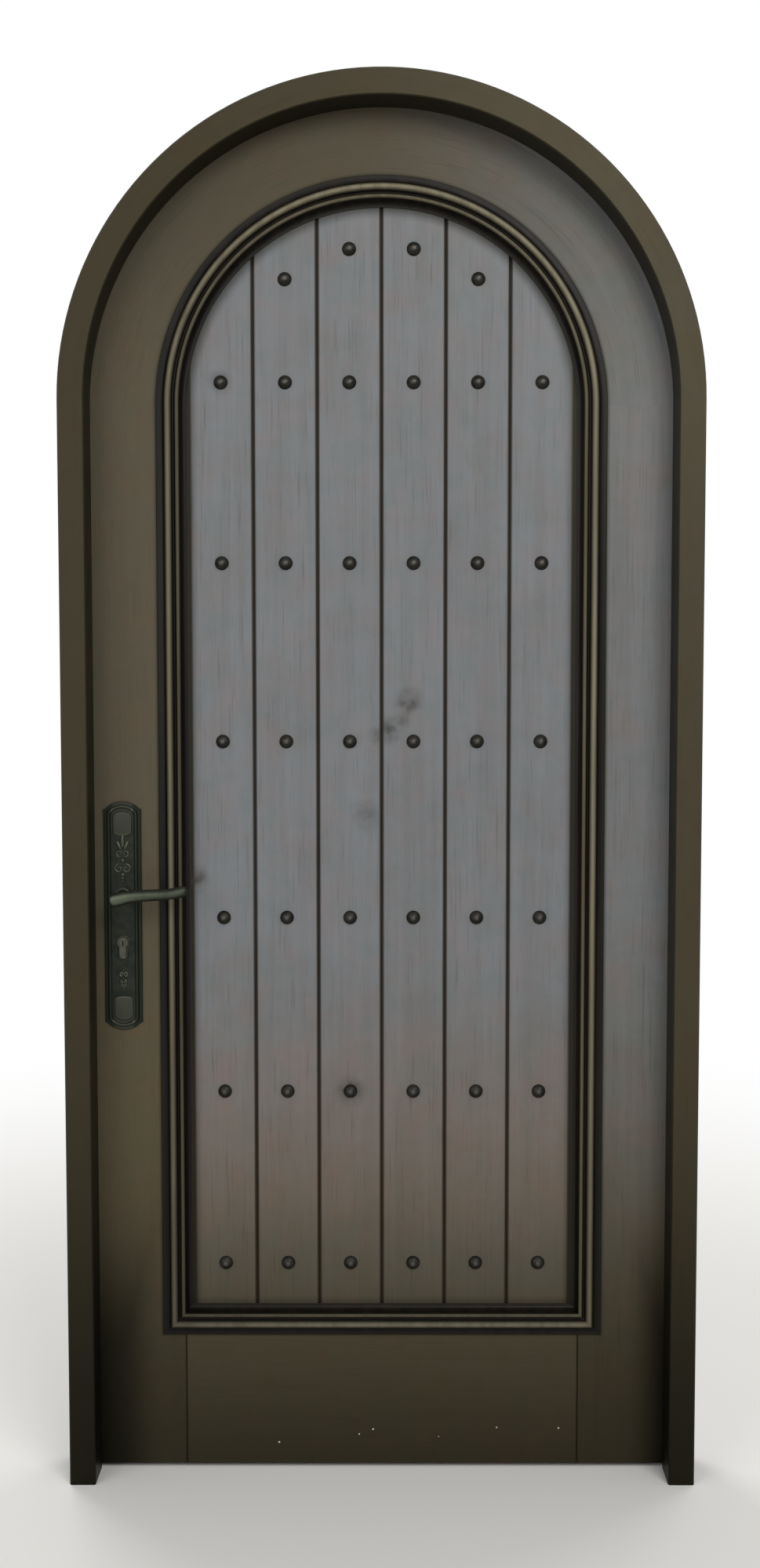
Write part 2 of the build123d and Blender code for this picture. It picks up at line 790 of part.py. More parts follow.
def lock_case():
    """Steel tray of the lock, open on the side that its cover closes."""
    side = case_thickness / 2
    outer = block((case_front_x, case_back_x), (-side, side - case_wall), (case_low, case_high))
    hollow = block(
        (case_front_x + case_wall, case_back_x - case_wall),
        (case_wall - side, side - case_wall),
        (case_low + case_wall, case_high - case_wall),
    )
    screw_way = cylinder_screw(joint_fit)
    return outer - hollow - bolt_ways() - case_openings() - screw_way


def lock_cover():
    """Plate that closes the lock case."""
    side = case_thickness / 2
    sheet = block((case_front_x, case_back_x), (side - case_wall, side), (case_low, case_high))
    return sheet - case_openings()


def lock_forend():
    """Face plate of the lock, let into the leaf's edge."""
    return forend_seat() - bolt_ways() - forend_screws(joint_fit) - cylinder_screw(joint_fit)


def forend_seat():
    """Room for the forend in the leaf's edge."""
    return block(
        (-leaf_radius, -leaf_radius + forend_thickness),
        (-forend_width / 2, forend_width / 2),
        (forend_middle_z - forend_length / 2, forend_middle_z + forend_length / 2),
    )


def forend_screws(play=0.0):
    """Screws at the forend's ends, into the stile."""
    return side_screws(-leaf_radius, 1, forend_screw_places(), play)


def latch_bolt():
    """Spring latch: bevelled head, thin tail over the follower and a lug behind its arm."""
    tip_x = -leaf_radius - latch_throw
    shoulder_x = case_front_x + latch_head_length
    head = bolt_bar(latch_z, latch_height, latch_thickness, tip_x, shoulder_x)
    bevel = Polygon(
        (tip_x, -latch_thickness / 2),
        (tip_x + latch_throw, -latch_thickness / 2),
        (tip_x, latch_thickness / 2 - latch_blunt_tip),
        align=None,
    )
    head -= upright(bevel, latch_z - latch_height, latch_z + latch_height)
    lug_x = spindle_x + follower_arm_width / 2 + latch_lug_gap
    lug_end = lug_x + latch_lug_width
    lug_foot = hub_z + follower_arm - latch_lug_overlap
    tail_z = latch_z + latch_tail_rise
    half = latch_tail_height / 2
    tail_y = (-tail_thickness / 2, tail_thickness / 2)
    tail = block((shoulder_x, lug_end), tail_y, (tail_z - half, tail_z + half))
    return head + tail + block((lug_x, lug_end), tail_y, (lug_foot, tail_z))


def deadbolt():
    """Square-ended bolt, drawn back, with a notch over the cam."""
    back_x = spindle_x + deadbolt_tail
    foot = deadbolt_z - deadbolt_height / 2
    bar = bolt_bar(deadbolt_z, deadbolt_height, deadbolt_thickness, -leaf_radius, back_x)
    notch = block(
        (spindle_x - deadbolt_notch_width / 2, spindle_x + deadbolt_notch_width / 2),
        (-deadbolt_thickness, deadbolt_thickness),
        (foot, foot + deadbolt_notch_depth),
    )
    return bar - notch


# Profile cylinder


def plug_bar(play, y_from, y_to):
    """Round plug in the cylinder's head, or with play its bore."""
    return rod(plug_radius + play, spindle_x, cylinder_z, y_from, y_to)


def cylinder_body():
    """Cylinder's body, bored for the plugs and slotted for the cam."""
    half = cylinder_length / 2
    body = slab(euro_outline(0), -half, half)
    slot_half = cam_width / 2 + joint_fit
    slot = block(
        (spindle_x - cam_radius, spindle_x + cam_radius),
        (-slot_half, slot_half),
        (cylinder_z - cam_radius, cylinder_z + cam_radius),
    )
    return body - plug_bar(turning_gap, -half, half) - slot - cylinder_screw(joint_fit)


def key_slot(y_from, y_to):
    """Keyway in a plug's face."""
    half = keyway_width / 2
    z = (cylinder_z - keyway_drop, cylinder_z + keyway_rise)
    return block((spindle_x - half, spindle_x + half), (y_from, y_to), z)


def front_plug():
    """Outside plug with its keyway and the cam that throws the deadbolt."""
    half = cylinder_length / 2
    barrel = plug_bar(0, -half, cam_width / 2)
    cam_y = (-cam_width / 2, cam_width / 2)
    cam_ring = rod(cylinder_head_radius - cam_ring_inset, spindle_x, cylinder_z, *cam_y)
    fin_x = (spindle_x - cam_fin_width / 2, spindle_x + cam_fin_width / 2)
    fin = block(fin_x, cam_y, (cylinder_z, cylinder_z + cam_radius - cam_fin_inset))
    return barrel + cam_ring + fin - key_slot(-half, -half + keyway_depth)


def rear_plug():
    """Inside plug with its keyway."""
    half = cylinder_length / 2
    return plug_bar(0, cam_width / 2 + joint_fit, half) - key_slot(half - keyway_depth, half)


def cylinder_screw(play=0.0):
    """Screw through the forend that holds the cylinder in the lock."""
    z = cylinder_z + cylinder_head_radius - cylinder_drop + cylinder_web / 2 + cylinder_screw_rise
    shank = cross_rod(cylinder_screw_radius + play, 0, z, -leaf_radius, spindle_x + cylinder_web / 2)
    head_radius = cylinder_screw_radius + cylinder_screw_head_extra + play
    return shank + cross_rod(head_radius, 0, z, -leaf_radius, -leaf_radius + cylinder_screw_head_height)


def latch_stile():
    """The stile on the lock's side, mortised for the lock and bored for the cylinder."""
    stile = mirror(plain_stile(), about=Plane.YZ)
    side = case_thickness / 2 + joint_fit
    mortise_z = (case_low - mortise_play, case_high + mortise_play)
    mortise = block((-leaf_radius, case_back_x + mortise_play), (-side, side), mortise_z)
    bolt_bore = plate_bolt_radius + bolt_boss_wall + joint_fit
    bores = [rod(follower_radius + mortise_play, spindle_x, hub_z, leaf_front, leaf_back)]
    bores += [rod(bolt_bore, spindle_x, z, leaf_front, leaf_back) for z in plate_bolt_heights()]
    euro = slab(euro_outline(mortise_play), leaf_front, leaf_back)
    return stile - mortise - forend_seat() - bores - euro - forend_screws(joint_fit)


# Hinges


def hinge_screw_places(z_middle):
    """Y and Z of one hinge leaf's screws."""
    near = leaf_back - hinge_screw_near
    far = leaf_back - hinge_screw_far
    return [(near, z_middle - hinge_screw_pitch), (far, z_middle), (near, z_middle + hinge_screw_pitch)]


def hinge_screws(side, z_middle, play=0.0):
    """Screws of one hinge leaf: side 1 into the jamb, -1 into the stile."""
    face_x = rebate_radius if side > 0 else leaf_radius
    return side_screws(face_x, side, hinge_screw_places(z_middle), play)


def hinge_seat(side, z_middle):
    """Room for one hinge leaf, let into the rebate or into the leaf's edge."""
    inner_x = rebate_radius if side > 0 else leaf_radius
    x = sorted((inner_x, inner_x + side * hinge_leaf_thickness))
    z = (z_middle - hinge_length / 2, z_middle + hinge_length / 2)
    return block(x, (leaf_back - hinge_leaf_width, leaf_back), z)


def hinge_leaf(side, z_middle):
    """One leaf of a lift-off hinge: the jamb's has the lower knuckle, the door's the upper."""
    inner_x = rebate_radius if side > 0 else leaf_radius
    x = sorted((inner_x, inner_x + side * hinge_leaf_thickness))
    end = z_middle - side * hinge_length / 2
    joint = z_middle - side * washer_thickness / 2
    z = sorted((end, joint))
    tab = block(x, (leaf_back, hinge_y), z)
    barrel = upright(Pos(hinge_x, hinge_y) * Circle(knuckle_radius), *z)
    bore_z = sorted((joint, end + side * knuckle_cap))
    bore = upright(Pos(hinge_x, hinge_y) * Circle(pin_radius + turning_gap / 2), *bore_z)
    return hinge_seat(side, z_middle) + tab + barrel - bore - hinge_screws(side, z_middle, joint_fit / 2)


def hinge_pin(z_middle):
    """Plain pin, held in the jamb's knuckle and turning in the door's."""
    reach = hinge_length / 2 - knuckle_cap
    section = Pos(hinge_x, hinge_y) * Circle(pin_radius)
    return upright(section, z_middle - reach, z_middle + reach - pin_end_gap)


def hinge_washer(z_middle):
    """Ring between the two knuckles."""
    half = washer_thickness / 2 - turning_gap
    ring = Circle(knuckle_radius - washer_inset) - Circle(pin_radius + turning_gap / 2)
    return upright(Pos(hinge_x, hinge_y) * ring, z_middle - half, z_middle + half)


def let_in_hinges(piece, side):
    """A jamb or stile with its hinge seats and the screws' pilot holes."""
    for z in hinge_heights:
        piece = piece - hinge_seat(side, z) - hinge_screws(side, z, joint_fit / 2)
    return piece


def save_frame():
    """Write what stays still."""
    save("latch_jamb", latch_jamb())
    save("hinge_jamb", let_in_hinges(plain_jamb(), 1))
    save("head_arch", head_arch())
    save("strike_plate", strike_plate())
    save("strike_screws", *strike_screws())


def save_leaf():
    """Write the leaf's framing, boards, mouldings and studs."""
    save("latch_stile", latch_stile())
    save("hinge_stile", let_in_hinges(plain_stile(), -1))
    save("bottom_rail", bottom_rail())
    save("arched_rail", arched_rail())
    for number, board in enumerate(planks(), 1):
        save(f"plank_{number}", board)
    for name, piece in four_lengths(moulding_section()).items():
        save(f"front_{name}_moulding", piece)
    for name, piece in four_lengths(rear_bead_section()).items():
        save(f"rear_{name}_bead", mirror(piece, about=Plane.XZ))
    save("door_studs", *door_studs())


def save_lock():
    """Write the plates, levers, lock and cylinder."""
    lever = front_lever()
    save("front_plate", front_plate())
    save("rear_plate", rear_plate())
    save("plate_bolts", *plate_bolts())
    save("front_lever", lever)
    save("rear_lever", mirror(lever, about=Plane.XZ))
    save("spindle", spindle_bar(0))
    save("lock_follower", lock_follower())
    save("lock_case", lock_case())
    save("lock_cover", lock_cover())
    save("lock_forend", lock_forend())
    save("forend_screws", *forend_screws())
    save("latch_bolt", latch_bolt())
    save("deadbolt", deadbolt())
    save("cylinder_body", cylinder_body())
    save("cylinder_screw", cylinder_screw())
    save("front_plug", front_plug())
    save("rear_plug", rear_plug())


def save_hinges():
    """Write the three hinges' like pieces together."""
    save("hinge_frame_leaves", *[hinge_leaf(1, z) for z in hinge_heights])
    save("hinge_door_leaves", *[hinge_leaf(-1, z) for z in hinge_heights])
    save("hinge_pins", *[hinge_pin(z) for z in hinge_heights])
    save("hinge_washers", *[hinge_washer(z) for z in hinge_heights])
    save("hinge_frame_screws", *[s for z in hinge_heights for s in hinge_screws(1, z)])
    save("hinge_door_screws", *[s for z in hinge_heights for s in hinge_screws(-1, z)])


os.makedirs("parts", exist_ok=True)
save_frame()
save_leaf()
save_lock()
save_hinges()
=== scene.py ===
"""Finishes and fine shapes of a round-headed boarded door in its arched frame, in metres."""

from math import atan2, cos, pi, radians, sin, sqrt

import bpy
from mathutils import Euler, Matrix, Vector


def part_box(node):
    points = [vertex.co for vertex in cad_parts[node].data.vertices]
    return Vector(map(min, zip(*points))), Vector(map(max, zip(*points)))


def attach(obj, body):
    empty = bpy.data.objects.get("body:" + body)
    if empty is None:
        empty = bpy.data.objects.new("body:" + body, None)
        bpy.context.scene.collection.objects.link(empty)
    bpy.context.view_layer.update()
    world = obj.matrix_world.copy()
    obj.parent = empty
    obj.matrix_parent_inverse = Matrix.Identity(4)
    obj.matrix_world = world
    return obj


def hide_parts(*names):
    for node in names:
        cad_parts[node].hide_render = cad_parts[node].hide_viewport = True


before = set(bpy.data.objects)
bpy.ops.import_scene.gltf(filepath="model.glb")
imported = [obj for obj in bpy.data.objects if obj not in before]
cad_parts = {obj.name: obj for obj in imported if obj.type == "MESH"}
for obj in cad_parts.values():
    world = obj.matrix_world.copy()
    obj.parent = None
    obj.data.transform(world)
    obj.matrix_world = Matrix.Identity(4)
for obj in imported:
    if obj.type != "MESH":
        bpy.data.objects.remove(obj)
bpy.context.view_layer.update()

# Places taken from the frame: X runs towards the hinges, Y into the building and Z up
arch_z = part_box("head_arch")[0].z
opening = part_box("hinge_stile")[0].x
face_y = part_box("arched_rail")[0].y
back_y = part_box("arched_rail")[1].y
rail_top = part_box("bottom_rail")[1].z
board_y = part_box("front_arch_moulding")[1].y
plate_low, plate_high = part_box("front_plate")
hub_x = (plate_low.x + plate_high.x) / 2
plate_middle_z = (plate_low.z + plate_high.z) / 2
plate_half = (plate_high.x - plate_low.x) / 2
plate_end = (plate_high.z - plate_low.z) / 2
spindle_low, spindle_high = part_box("spindle")
hub_z = (spindle_low.z + spindle_high.z) / 2
cam_ring_radius = 0.008  # the ring reaches the plug's lowest point
cylinder_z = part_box("front_plug")[0].z + cam_ring_radius
reveal = 0.445  # half the width between the jambs' faces

# Edges
soft_edge = 0.0006  # taken off the corners of mouldings and plates
hidden_fit = 0.0002  # play where a fine piece meets the wood unseen

# Moulding's section
moulding_on_stile = 0.036
moulding_on_boards = 0.010
moulding_height = 0.0145
moulding_edge = 0.0025
moulding_fillet = 0.0035
big_bead = 0.0055
big_bead_offset = 0.017
small_bead = 0.0035
bead_step = 0.003
quirk = 0.005
quirk_depth = 0.0035
small_bead_offset = big_bead_offset - big_bead - quirk - small_bead
inner_lip = 0.002
inner_flat = 0.003
arch_steps = 72

# Nails
nail_radius = 0.011
nail_height = 0.008
nail_edge = 0.0012  # upright at the foot of the dome
nail_flare = 1.03
nail_turn = 0.7  # from one nail to the next, so that their marks differ
nail_rows = 6
board_count = 6
board_pitch = 2 * (opening - 0.0135) / board_count
lowest_nails = rail_top + 0.076
highest_nails = arch_z + 0.037
nail_arc = opening - 0.0665

# Lock plate
plate_base = 0.003
plate_shoulder = 0.0025
plate_crown = 0.012
plate_front = face_y - plate_base
bedded = 0.0004  # how deep raised work starts in the plate
rim_inset = 0.005
rim_foot = 0.0006
rim_slope = 0.0017
rim_top = 0.0026
rim_height = 0.0028
rim_crown = 0.0004
sunk = 0.0026
panel_from_side = 0.009  # from the rim's outer edge
panel_from_end = 0.010
panel_height = 0.034
collar_radius = 0.013
collar_height = 0.0024
neck_radius = 0.0085
cylinder_head = 0.0085
cylinder_web = 0.005
cylinder_foot = -0.0195
way_play = 0.0002  # round the neck and the cylinder
way_length = 0.05

# Ornament at its full size: two scrolls on each side, as the way they turn, their place across
# and towards the plate's end, radius, turns and thickness
scrolls = ((-1, 0.0046, -0.0125, 0.0056, 1.2, 0.0016), (1, 0.0036, 0.0065, 0.0044, 1.1, 0.0014))
scroll_tightening = 0.78
scroll_thinning = 0.45
upper_ornament = (hub_z + 0.059, 1.25)  # height of its middle and its size
lower_ornament = ((plate_low.z + rim_inset + 0.044 + cylinder_z - 0.0265) / 2, 0.62)

# Lever, as places along its line from the neck, and the share of the full oval there
lever_reach = 0.060
lever_line = (
    (-0.0132, -0.0014, 0.52),
    (-0.0118, -0.0011, 0.86),
    (-0.008, -0.0003, 1.04),
    (0.0, 0.0015, 1.08),
    (0.009, 0.0036, 1.06),
    (0.018, 0.0053, 1.03),
    (0.030, 0.0064, 1.0),
    (0.042, 0.0072, 1.0),
    (0.054, 0.0078, 1.0),
    (0.066, 0.0084, 1.0),
    (0.075, 0.0091, 1.0),
    (0.084, 0.0101, 1.05),
    (0.0925, 0.0118, 1.1),
    (0.099, 0.0138, 1.1),
    (0.1036, 0.0154, 0.92),
    (0.1055, 0.0161, 0.55),
)
lever_tall = (0.0215, 0.0150)  # over the neck and at the tip
lever_deep = (0.0165, 0.0120)
grip_inset = 0.0005  # keeps the fuller ovals inside the lever's reach
grip_y = face_y - lever_reach + lever_deep[0] / 2 + grip_inset
grip_front = 0.0003 + lever_deep[0] / 2 - grip_y
neck_start = plate_front - 0.0034
neck_profile = (
    (neck_radius, face_y - 0.0004),
    (neck_radius, neck_start),
    (0.0104, neck_start - 0.0008),
    (0.0108, neck_start - 0.0028),
    (0.0098, neck_start - 0.0046),
    (0.0082, neck_start - 0.0075),
    (0.0074, neck_start - 0.013),
    (0.0072, neck_start - 0.021),
    (0.0076, neck_start - 0.029),
    (0.0084, grip_y + 0.004),
    (0.0078, grip_y),
)


# Modelling


def deselect():
    bpy.ops.object.select_all(action="DESELECT")


def pick(*pieces):
    """Select these pieces alone, the first one active."""
    deselect()
    for piece in pieces:
        piece.select_set(True)
    bpy.context.view_layer.objects.active = pieces[0]


def named(name):
    """Name the piece that was just added and put its place into its mesh."""
    bpy.ops.object.transform_apply(location=True, rotation=True, scale=True)
    piece = bpy.context.object
    piece.name = name
    piece.data.name = name
    return piece


def edit():
    """Start editing with everything selected."""
    bpy.ops.object.mode_set(mode="EDIT")
    bpy.ops.mesh.select_all(action="SELECT")


def leave_edit():
    bpy.ops.object.mode_set(mode="OBJECT")


def edit_end(piece, way):
    """Start editing with one flat end selected: the one inside the door, or outside with way -1."""
    edit()
    bpy.ops.mesh.select_all(action="DESELECT")
    leave_edit()
    for face in piece.data.polygons:
        face.select = way * face.normal.y > 0.9
    bpy.ops.object.mode_set(mode="EDIT")


def close_up():
    """Weld what coincides, turn every face outwards and stop editing."""
    bpy.ops.mesh.select_all(action="SELECT")
    bpy.ops.mesh.remove_doubles(threshold=0.00001)
    bpy.ops.mesh.normals_make_consistent(inside=False)
    leave_edit()


def smooth(piece, degrees=32):
    """Shade round stretches smoothly and leave the edges sharp."""
    pick(piece)
    bpy.ops.object.shade_smooth_by_angle(angle=radians(degrees))


def draw(name, points):
    """A flat face whose outline is extruded from point to point."""
    deselect()
    bpy.ops.mesh.primitive_plane_add(size=0.001, location=points[0])
    named(name)
    edit()
    bpy.ops.mesh.merge(type="CENTER")
    for start, end in zip(points, points[1:]):
        step = [b - a for a, b in zip(start, end)]
        bpy.ops.mesh.extrude_vertices_move(TRANSFORM_OT_translate={"value": step})
    bpy.ops.mesh.select_all(action="SELECT")
    bpy.ops.mesh.edge_face_add()
    return bpy.context.object


def push(step):
    """While editing: extrude what is selected by a step."""
    bpy.ops.mesh.extrude_region_move(TRANSFORM_OT_translate={"value": step})


def joined(name, pieces):
    """Join pieces into the first of them."""
    pick(*pieces)
    if len(pieces) > 1:
        bpy.ops.object.join()
    return named(name)


def arc(middle, radii, start, end, steps):
    """Points along a round or oval stretch, its ends included. Angles in half turns."""
    angles = [pi * (start + (end - start) * step / steps) for step in range(steps + 1)]
    return [(middle[0] + radii[0] * cos(a), middle[1] + radii[1] * sin(a)) for a in angles]


def dress(piece, body, slot, finish, *nodes):
    """Let a piece ride on a body, stand for its CAD nodes and wear its finish."""
    piece.data.materials.clear()
    piece.data.materials.append(finish)
    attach(piece, body)
    if nodes:
        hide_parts(*nodes)
    return piece


def turned_over(piece, name):
    """A copy of an outside piece for the inside, mirrored through the leaf."""
    pick(piece)
    bpy.ops.object.duplicate()
    copy = bpy.context.object
    copy.scale = (1, -1, 1)
    named(name)
    edit()
    close_up()
    return copy


# Mouldings


def moulding_outline():
    """Two-bead bolection section as radius and depth, from the stile round to the boards."""
    outer = opening + moulding_on_stile
    inner = opening - moulding_on_boards
    fillet_y = face_y - moulding_edge
    lip_y = board_y - inner_lip
    big = (opening + big_bead_offset, face_y - moulding_height + big_bead)
    small = (opening + small_bead_offset, face_y - moulding_height + bead_step + small_bead)
    groove = (big[0] - big_bead - quirk / 2, (big[1] + small[1]) / 2)
    cove_edge = outer - moulding_fillet
    cove = (cove_edge - big[0] - big_bead, fillet_y - big[1])
    throat_edge = inner + inner_flat
    throat = (small[0] - small_bead - throat_edge, lip_y - small[1])
    points = [(outer, face_y), (outer, fillet_y + soft_edge), (outer - soft_edge, fillet_y)]
    points += arc((cove_edge, big[1]), cove, 0.5, 1, 7)
    points += arc(big, (big_bead, big_bead), 0, -1, 14)[1:]
    points += arc(groove, (quirk / 2, quirk_depth), 0, 1, 8)[1:-1]
    points += arc(small, (small_bead, small_bead), 0, -1, 12)
    points += arc((throat_edge, small[1]), throat, 0, 0.5, 7)[1:]
    points += [(inner + soft_edge, lip_y), (inner, lip_y + soft_edge), (inner, board_y)]
    return points + [(opening - hidden_fit, board_y), (opening - hidden_fit, face_y)]


def bead_outline():
    """Inside bead's section as radius and depth."""
    outer = opening - hidden_fit
    inner = opening - moulding_on_boards
    flat_x = (outer + inner) / 2
    rear_board = -board_y
    corner = arc((flat_x, rear_board), (flat_x - inner, back_y - rear_board), 1, 0.5, 9)
    return corner + [(outer, back_y), (outer, rear_board)]


def mitre(side, low, high, keep_upright):
    """While editing: cut along the line between two corners and keep what is upright or level."""
    bpy.ops.mesh.select_all(action="SELECT")
    slope = (side * (high[1] - low[1]), 0, low[0] - high[0])
    bpy.ops.mesh.bisect(
        plane_co=(side * low[0], 0, low[1]), plane_no=slope, use_fill=True,
        clear_inner=keep_upright, clear_outer=not keep_upright,
    )


def arch_length(name, outline):
    """The section swung over the head from side to side."""
    piece = draw(name, [(r, y, arch_z) for r, y in outline])
    bpy.ops.mesh.spin(steps=arch_steps, angle=pi, center=(0, 0, arch_z), axis=(0, 1, 0))
    close_up()
    return piece


def side_length(name, outline, side, low, high):
    """An upright length, mitred at its foot."""
    piece = draw(name, [(side * r, y, low[1]) for r, y in outline])
    push((0, 0, arch_z - low[1]))
    mitre(side, low, high, True)
    close_up()
    return piece


def level_length(name, outline, low, high):
    """The bottom length between its two mitres."""
    piece = draw(name, [(-low[0], y, rail_top + opening - r) for r, y in outline])
    push((2 * low[0], 0, 0))
    for side in (-1, 1):
        mitre(side, low, high, False)
    close_up()
    return piece


def mouldings(prefix, suffix, outline, outer, finish):
    """All four lengths on one side of the leaf. Mitres run from the low to the high corners."""
    low = (opening + outer, rail_top - outer)
    high = (opening - moulding_on_boards, rail_top + moulding_on_boards)
    made = {
        "arch": arch_length(f"{prefix}_arch", outline),
        "hinge_side": side_length(f"{prefix}_hinge_side", outline, 1, low, high),
        "latch_side": side_length(f"{prefix}_latch_side", outline, -1, low, high),
        "bottom": level_length(f"{prefix}_bottom", outline, low, high),
    }
    for place, piece in made.items():
        smooth(piece)
        node = f"{prefix}_{place}_{suffix}"
        piece.name = f"{prefix}_{place}_{suffix}_run"
        dress(piece, "leaf", "bead_wood", finish, node)


# Nails


def nail_places():
    """X and Z of the nails: rows over every board, then four under the head."""
    columns = [(i + 0.5 - board_count / 2) * board_pitch for i in range(board_count)]
    pitch = (highest_nails - lowest_nails) / (nail_rows - 1)
    rows = [lowest_nails + row * pitch for row in range(nail_rows)]
    crown = [(x, arch_z + sqrt(nail_arc**2 - x**2)) for x in columns[1:-1]]
    return [(x, z) for z in rows for x in columns] + crown


def nail_head():
    """One domed head with an upright rim, standing on the origin."""
    ball = (nail_radius**2 + nail_height**2) / (2 * nail_height)
    deselect()
    bpy.ops.mesh.primitive_uv_sphere_add(
        segments=24, ring_count=20, radius=ball, location=(0, ball - nail_height, 0), rotation=(pi / 2, 0, 0)
    )
    head = named("nail_head")
    edit()
    bpy.ops.mesh.bisect(plane_co=(0, -nail_edge, 0), plane_no=(0, 1, 0), use_fill=True, clear_outer=True)
    close_up()
    edit_end(head, 1)
    push((0, nail_edge, 0))
    bpy.ops.transform.resize(value=(nail_flare, 1, nail_flare))
    close_up()
    smooth(head, 50)
    return head


def nails(finish):
    """All the nails as one piece."""
    first = nail_head()
    heads = []
    for number, (x, z) in enumerate(nail_places()):
        pick(first)
        bpy.ops.object.duplicate()
        copy = bpy.context.object
        copy.rotation_euler = (0, nail_turn * number, 0)
        copy.location = (x, board_y, z)
        bpy.ops.object.transform_apply(location=True, rotation=True, scale=True)
        heads.append(copy)
    bpy.data.objects.remove(first)
    dress(joined("domed_nails", heads), "leaf", "stud_metal", finish, "door_studs")


# Lock plate, drawn for the outside and turned over for the inside


def on_plate(points, towards=1):
    """Put points about the plate's middle in their places. towards is -1 for the lower end."""
    return [(hub_x + x, plate_middle_z + towards * z) for x, z in points]


def end_arcs(half, end, crown):
    """A low arc over the top and one under the foot, about the plate's middle."""
    radius = (half**2 + crown**2) / (2 * crown)
    sweep = atan2(half, radius - crown) / pi
    top = arc((0, end - radius), (radius, radius), 0.5 - sweep, 0.5 + sweep, 14)
    foot = arc((0, radius - end), (radius, radius), 1.5 - sweep, 1.5 + sweep, 14)
    return top, foot


def plate_outline():
    """Straight sides, shoulders and a low arc at each end, as X and Z."""
    spring = plate_end - plate_crown
    top, foot = end_arcs(plate_half - plate_shoulder, plate_end, plate_crown)
    hinge_side = [(plate_half, -spring), (plate_half, spring)]
    return on_plate(hinge_side + top + [(-plate_half, spring), (-plate_half, -spring)] + foot)


def euro_outline(grow):
    """Profile cylinder's section: a round head over a narrow web with a round foot."""
    head = cylinder_head + grow
    web = cylinder_web + grow
    bend = atan2(sqrt(head**2 - web**2), web) / pi
    top = arc((0, 0), (head, head), -bend, 1 + bend, 20)
    bottom = arc((0, cylinder_foot), (web, web), 1, 2, 10)
    return [(hub_x + x, cylinder_z + z) for x, z in top + bottom]


def flat(name, outline, y):
    """A face in X and Z at a depth."""
    return draw(name, [(x, y, z) for x, z in outline])


def inset(width, rise):
    """While editing: step the selected face in, and forward by a rise."""
    bpy.ops.mesh.inset(thickness=width, depth=0, use_even_offset=True)
    bpy.ops.transform.translate(value=(0, -rise, 0))


def raised(name, outline, y, foot, *steps):
    """A face pushed forward by an upright foot and then stepped in and forward."""
    piece = flat(name, outline, y)
    push((0, -foot, 0))
    for width, rise in steps:
        inset(width, rise)
    close_up()
    return piece


def plate_base_slab():
    return raised("plate_slab", plate_outline(), face_y, plate_base - soft_edge, (soft_edge, soft_edge))


def plate_rim():
    """Raised border with a crown, round the sunk field."""
    top, foot = end_arcs(plate_half - rim_inset, plate_end - rim_inset, plate_crown)
    crown = rim_top / 2
    return raised(
        "plate_rim", on_plate(top + foot), plate_front + bedded, rim_foot,
        (rim_slope, rim_height), (crown, rim_crown), (crown, -rim_crown), (rim_slope, -sunk),
    )


def end_panel(towards):
    """Raised bare panel with a round outer end and a flatter round inner one."""
    half = plate_half - rim_inset - panel_from_side
    reach = plate_end - rim_inset - panel_from_end
    inner = reach - panel_height
    outer_round = half * 0.6
    inner_round = half * 0.35
    outer_end = arc((0, reach - outer_round), (half, outer_round), 0, 1, 12)
    inner_end = arc((0, inner), (half, inner_round), 1, 2, 8)[1:-1]
    outline = on_plate([(half, inner)] + outer_end + [(-half, inner)] + inner_end, towards)
    return raised("end_panel", outline, plate_front, 0.0006, (0.0012, 0.0013), (0.0022, 0.0004))


def escutcheon():
    """Raised border round the cylinder's hole."""
    return raised("escutcheon", euro_outline(0.0024), plate_front + bedded, 0.0012, (0.0008, 0.0006))


def scroll(turn_side, centre, radius, turns, start, thick):
    """A C-scroll: a tube that winds inwards and thins."""
    steps = 26
    points = []
    for step in range(steps + 1):
        along = step / steps
        angle = start + turn_side * turns * 2 * pi * along
        distance = radius * (1 - scroll_tightening * along)
        place = (centre[0] + distance * cos(angle), centre[1] + distance * sin(angle))
        points.append((*place, 1 - scroll_thinning * along))
    deselect()
    bpy.ops.curve.primitive_nurbs_path_add(location=(0, 0, 0))
    path = bpy.context.object
    spline = path.data.splines[0]
    spline.points.add(len(points) - len(spline.points))
    for knot, (x, z, share) in zip(spline.points, points):
        knot.co = (x, plate_front - 0.0007, z, 1)
        knot.radius = share
    spline.order_u = 3
    spline.use_endpoint_u = True
    path.data.bevel_depth = thick
    path.data.bevel_resolution = 2
    path.data.use_fill_caps = True
    path.data.resolution_u = 2
    bpy.ops.object.convert(target="MESH")
    return named("scroll")


def bud(centre, wide, tall, proud, lean=0.0):
    """A leaf or bead, half sunk: pointed or round by its proportions."""
    deselect()
    bpy.ops.mesh.primitive_uv_sphere_add(
        segments=16, ring_count=12, radius=1, location=(centre[0], plate_front - 0.0003, centre[1])
    )
    bpy.context.object.scale = (wide, proud, tall)
    bpy.context.object.rotation_euler = (0, lean, 0)
    return named("bud")


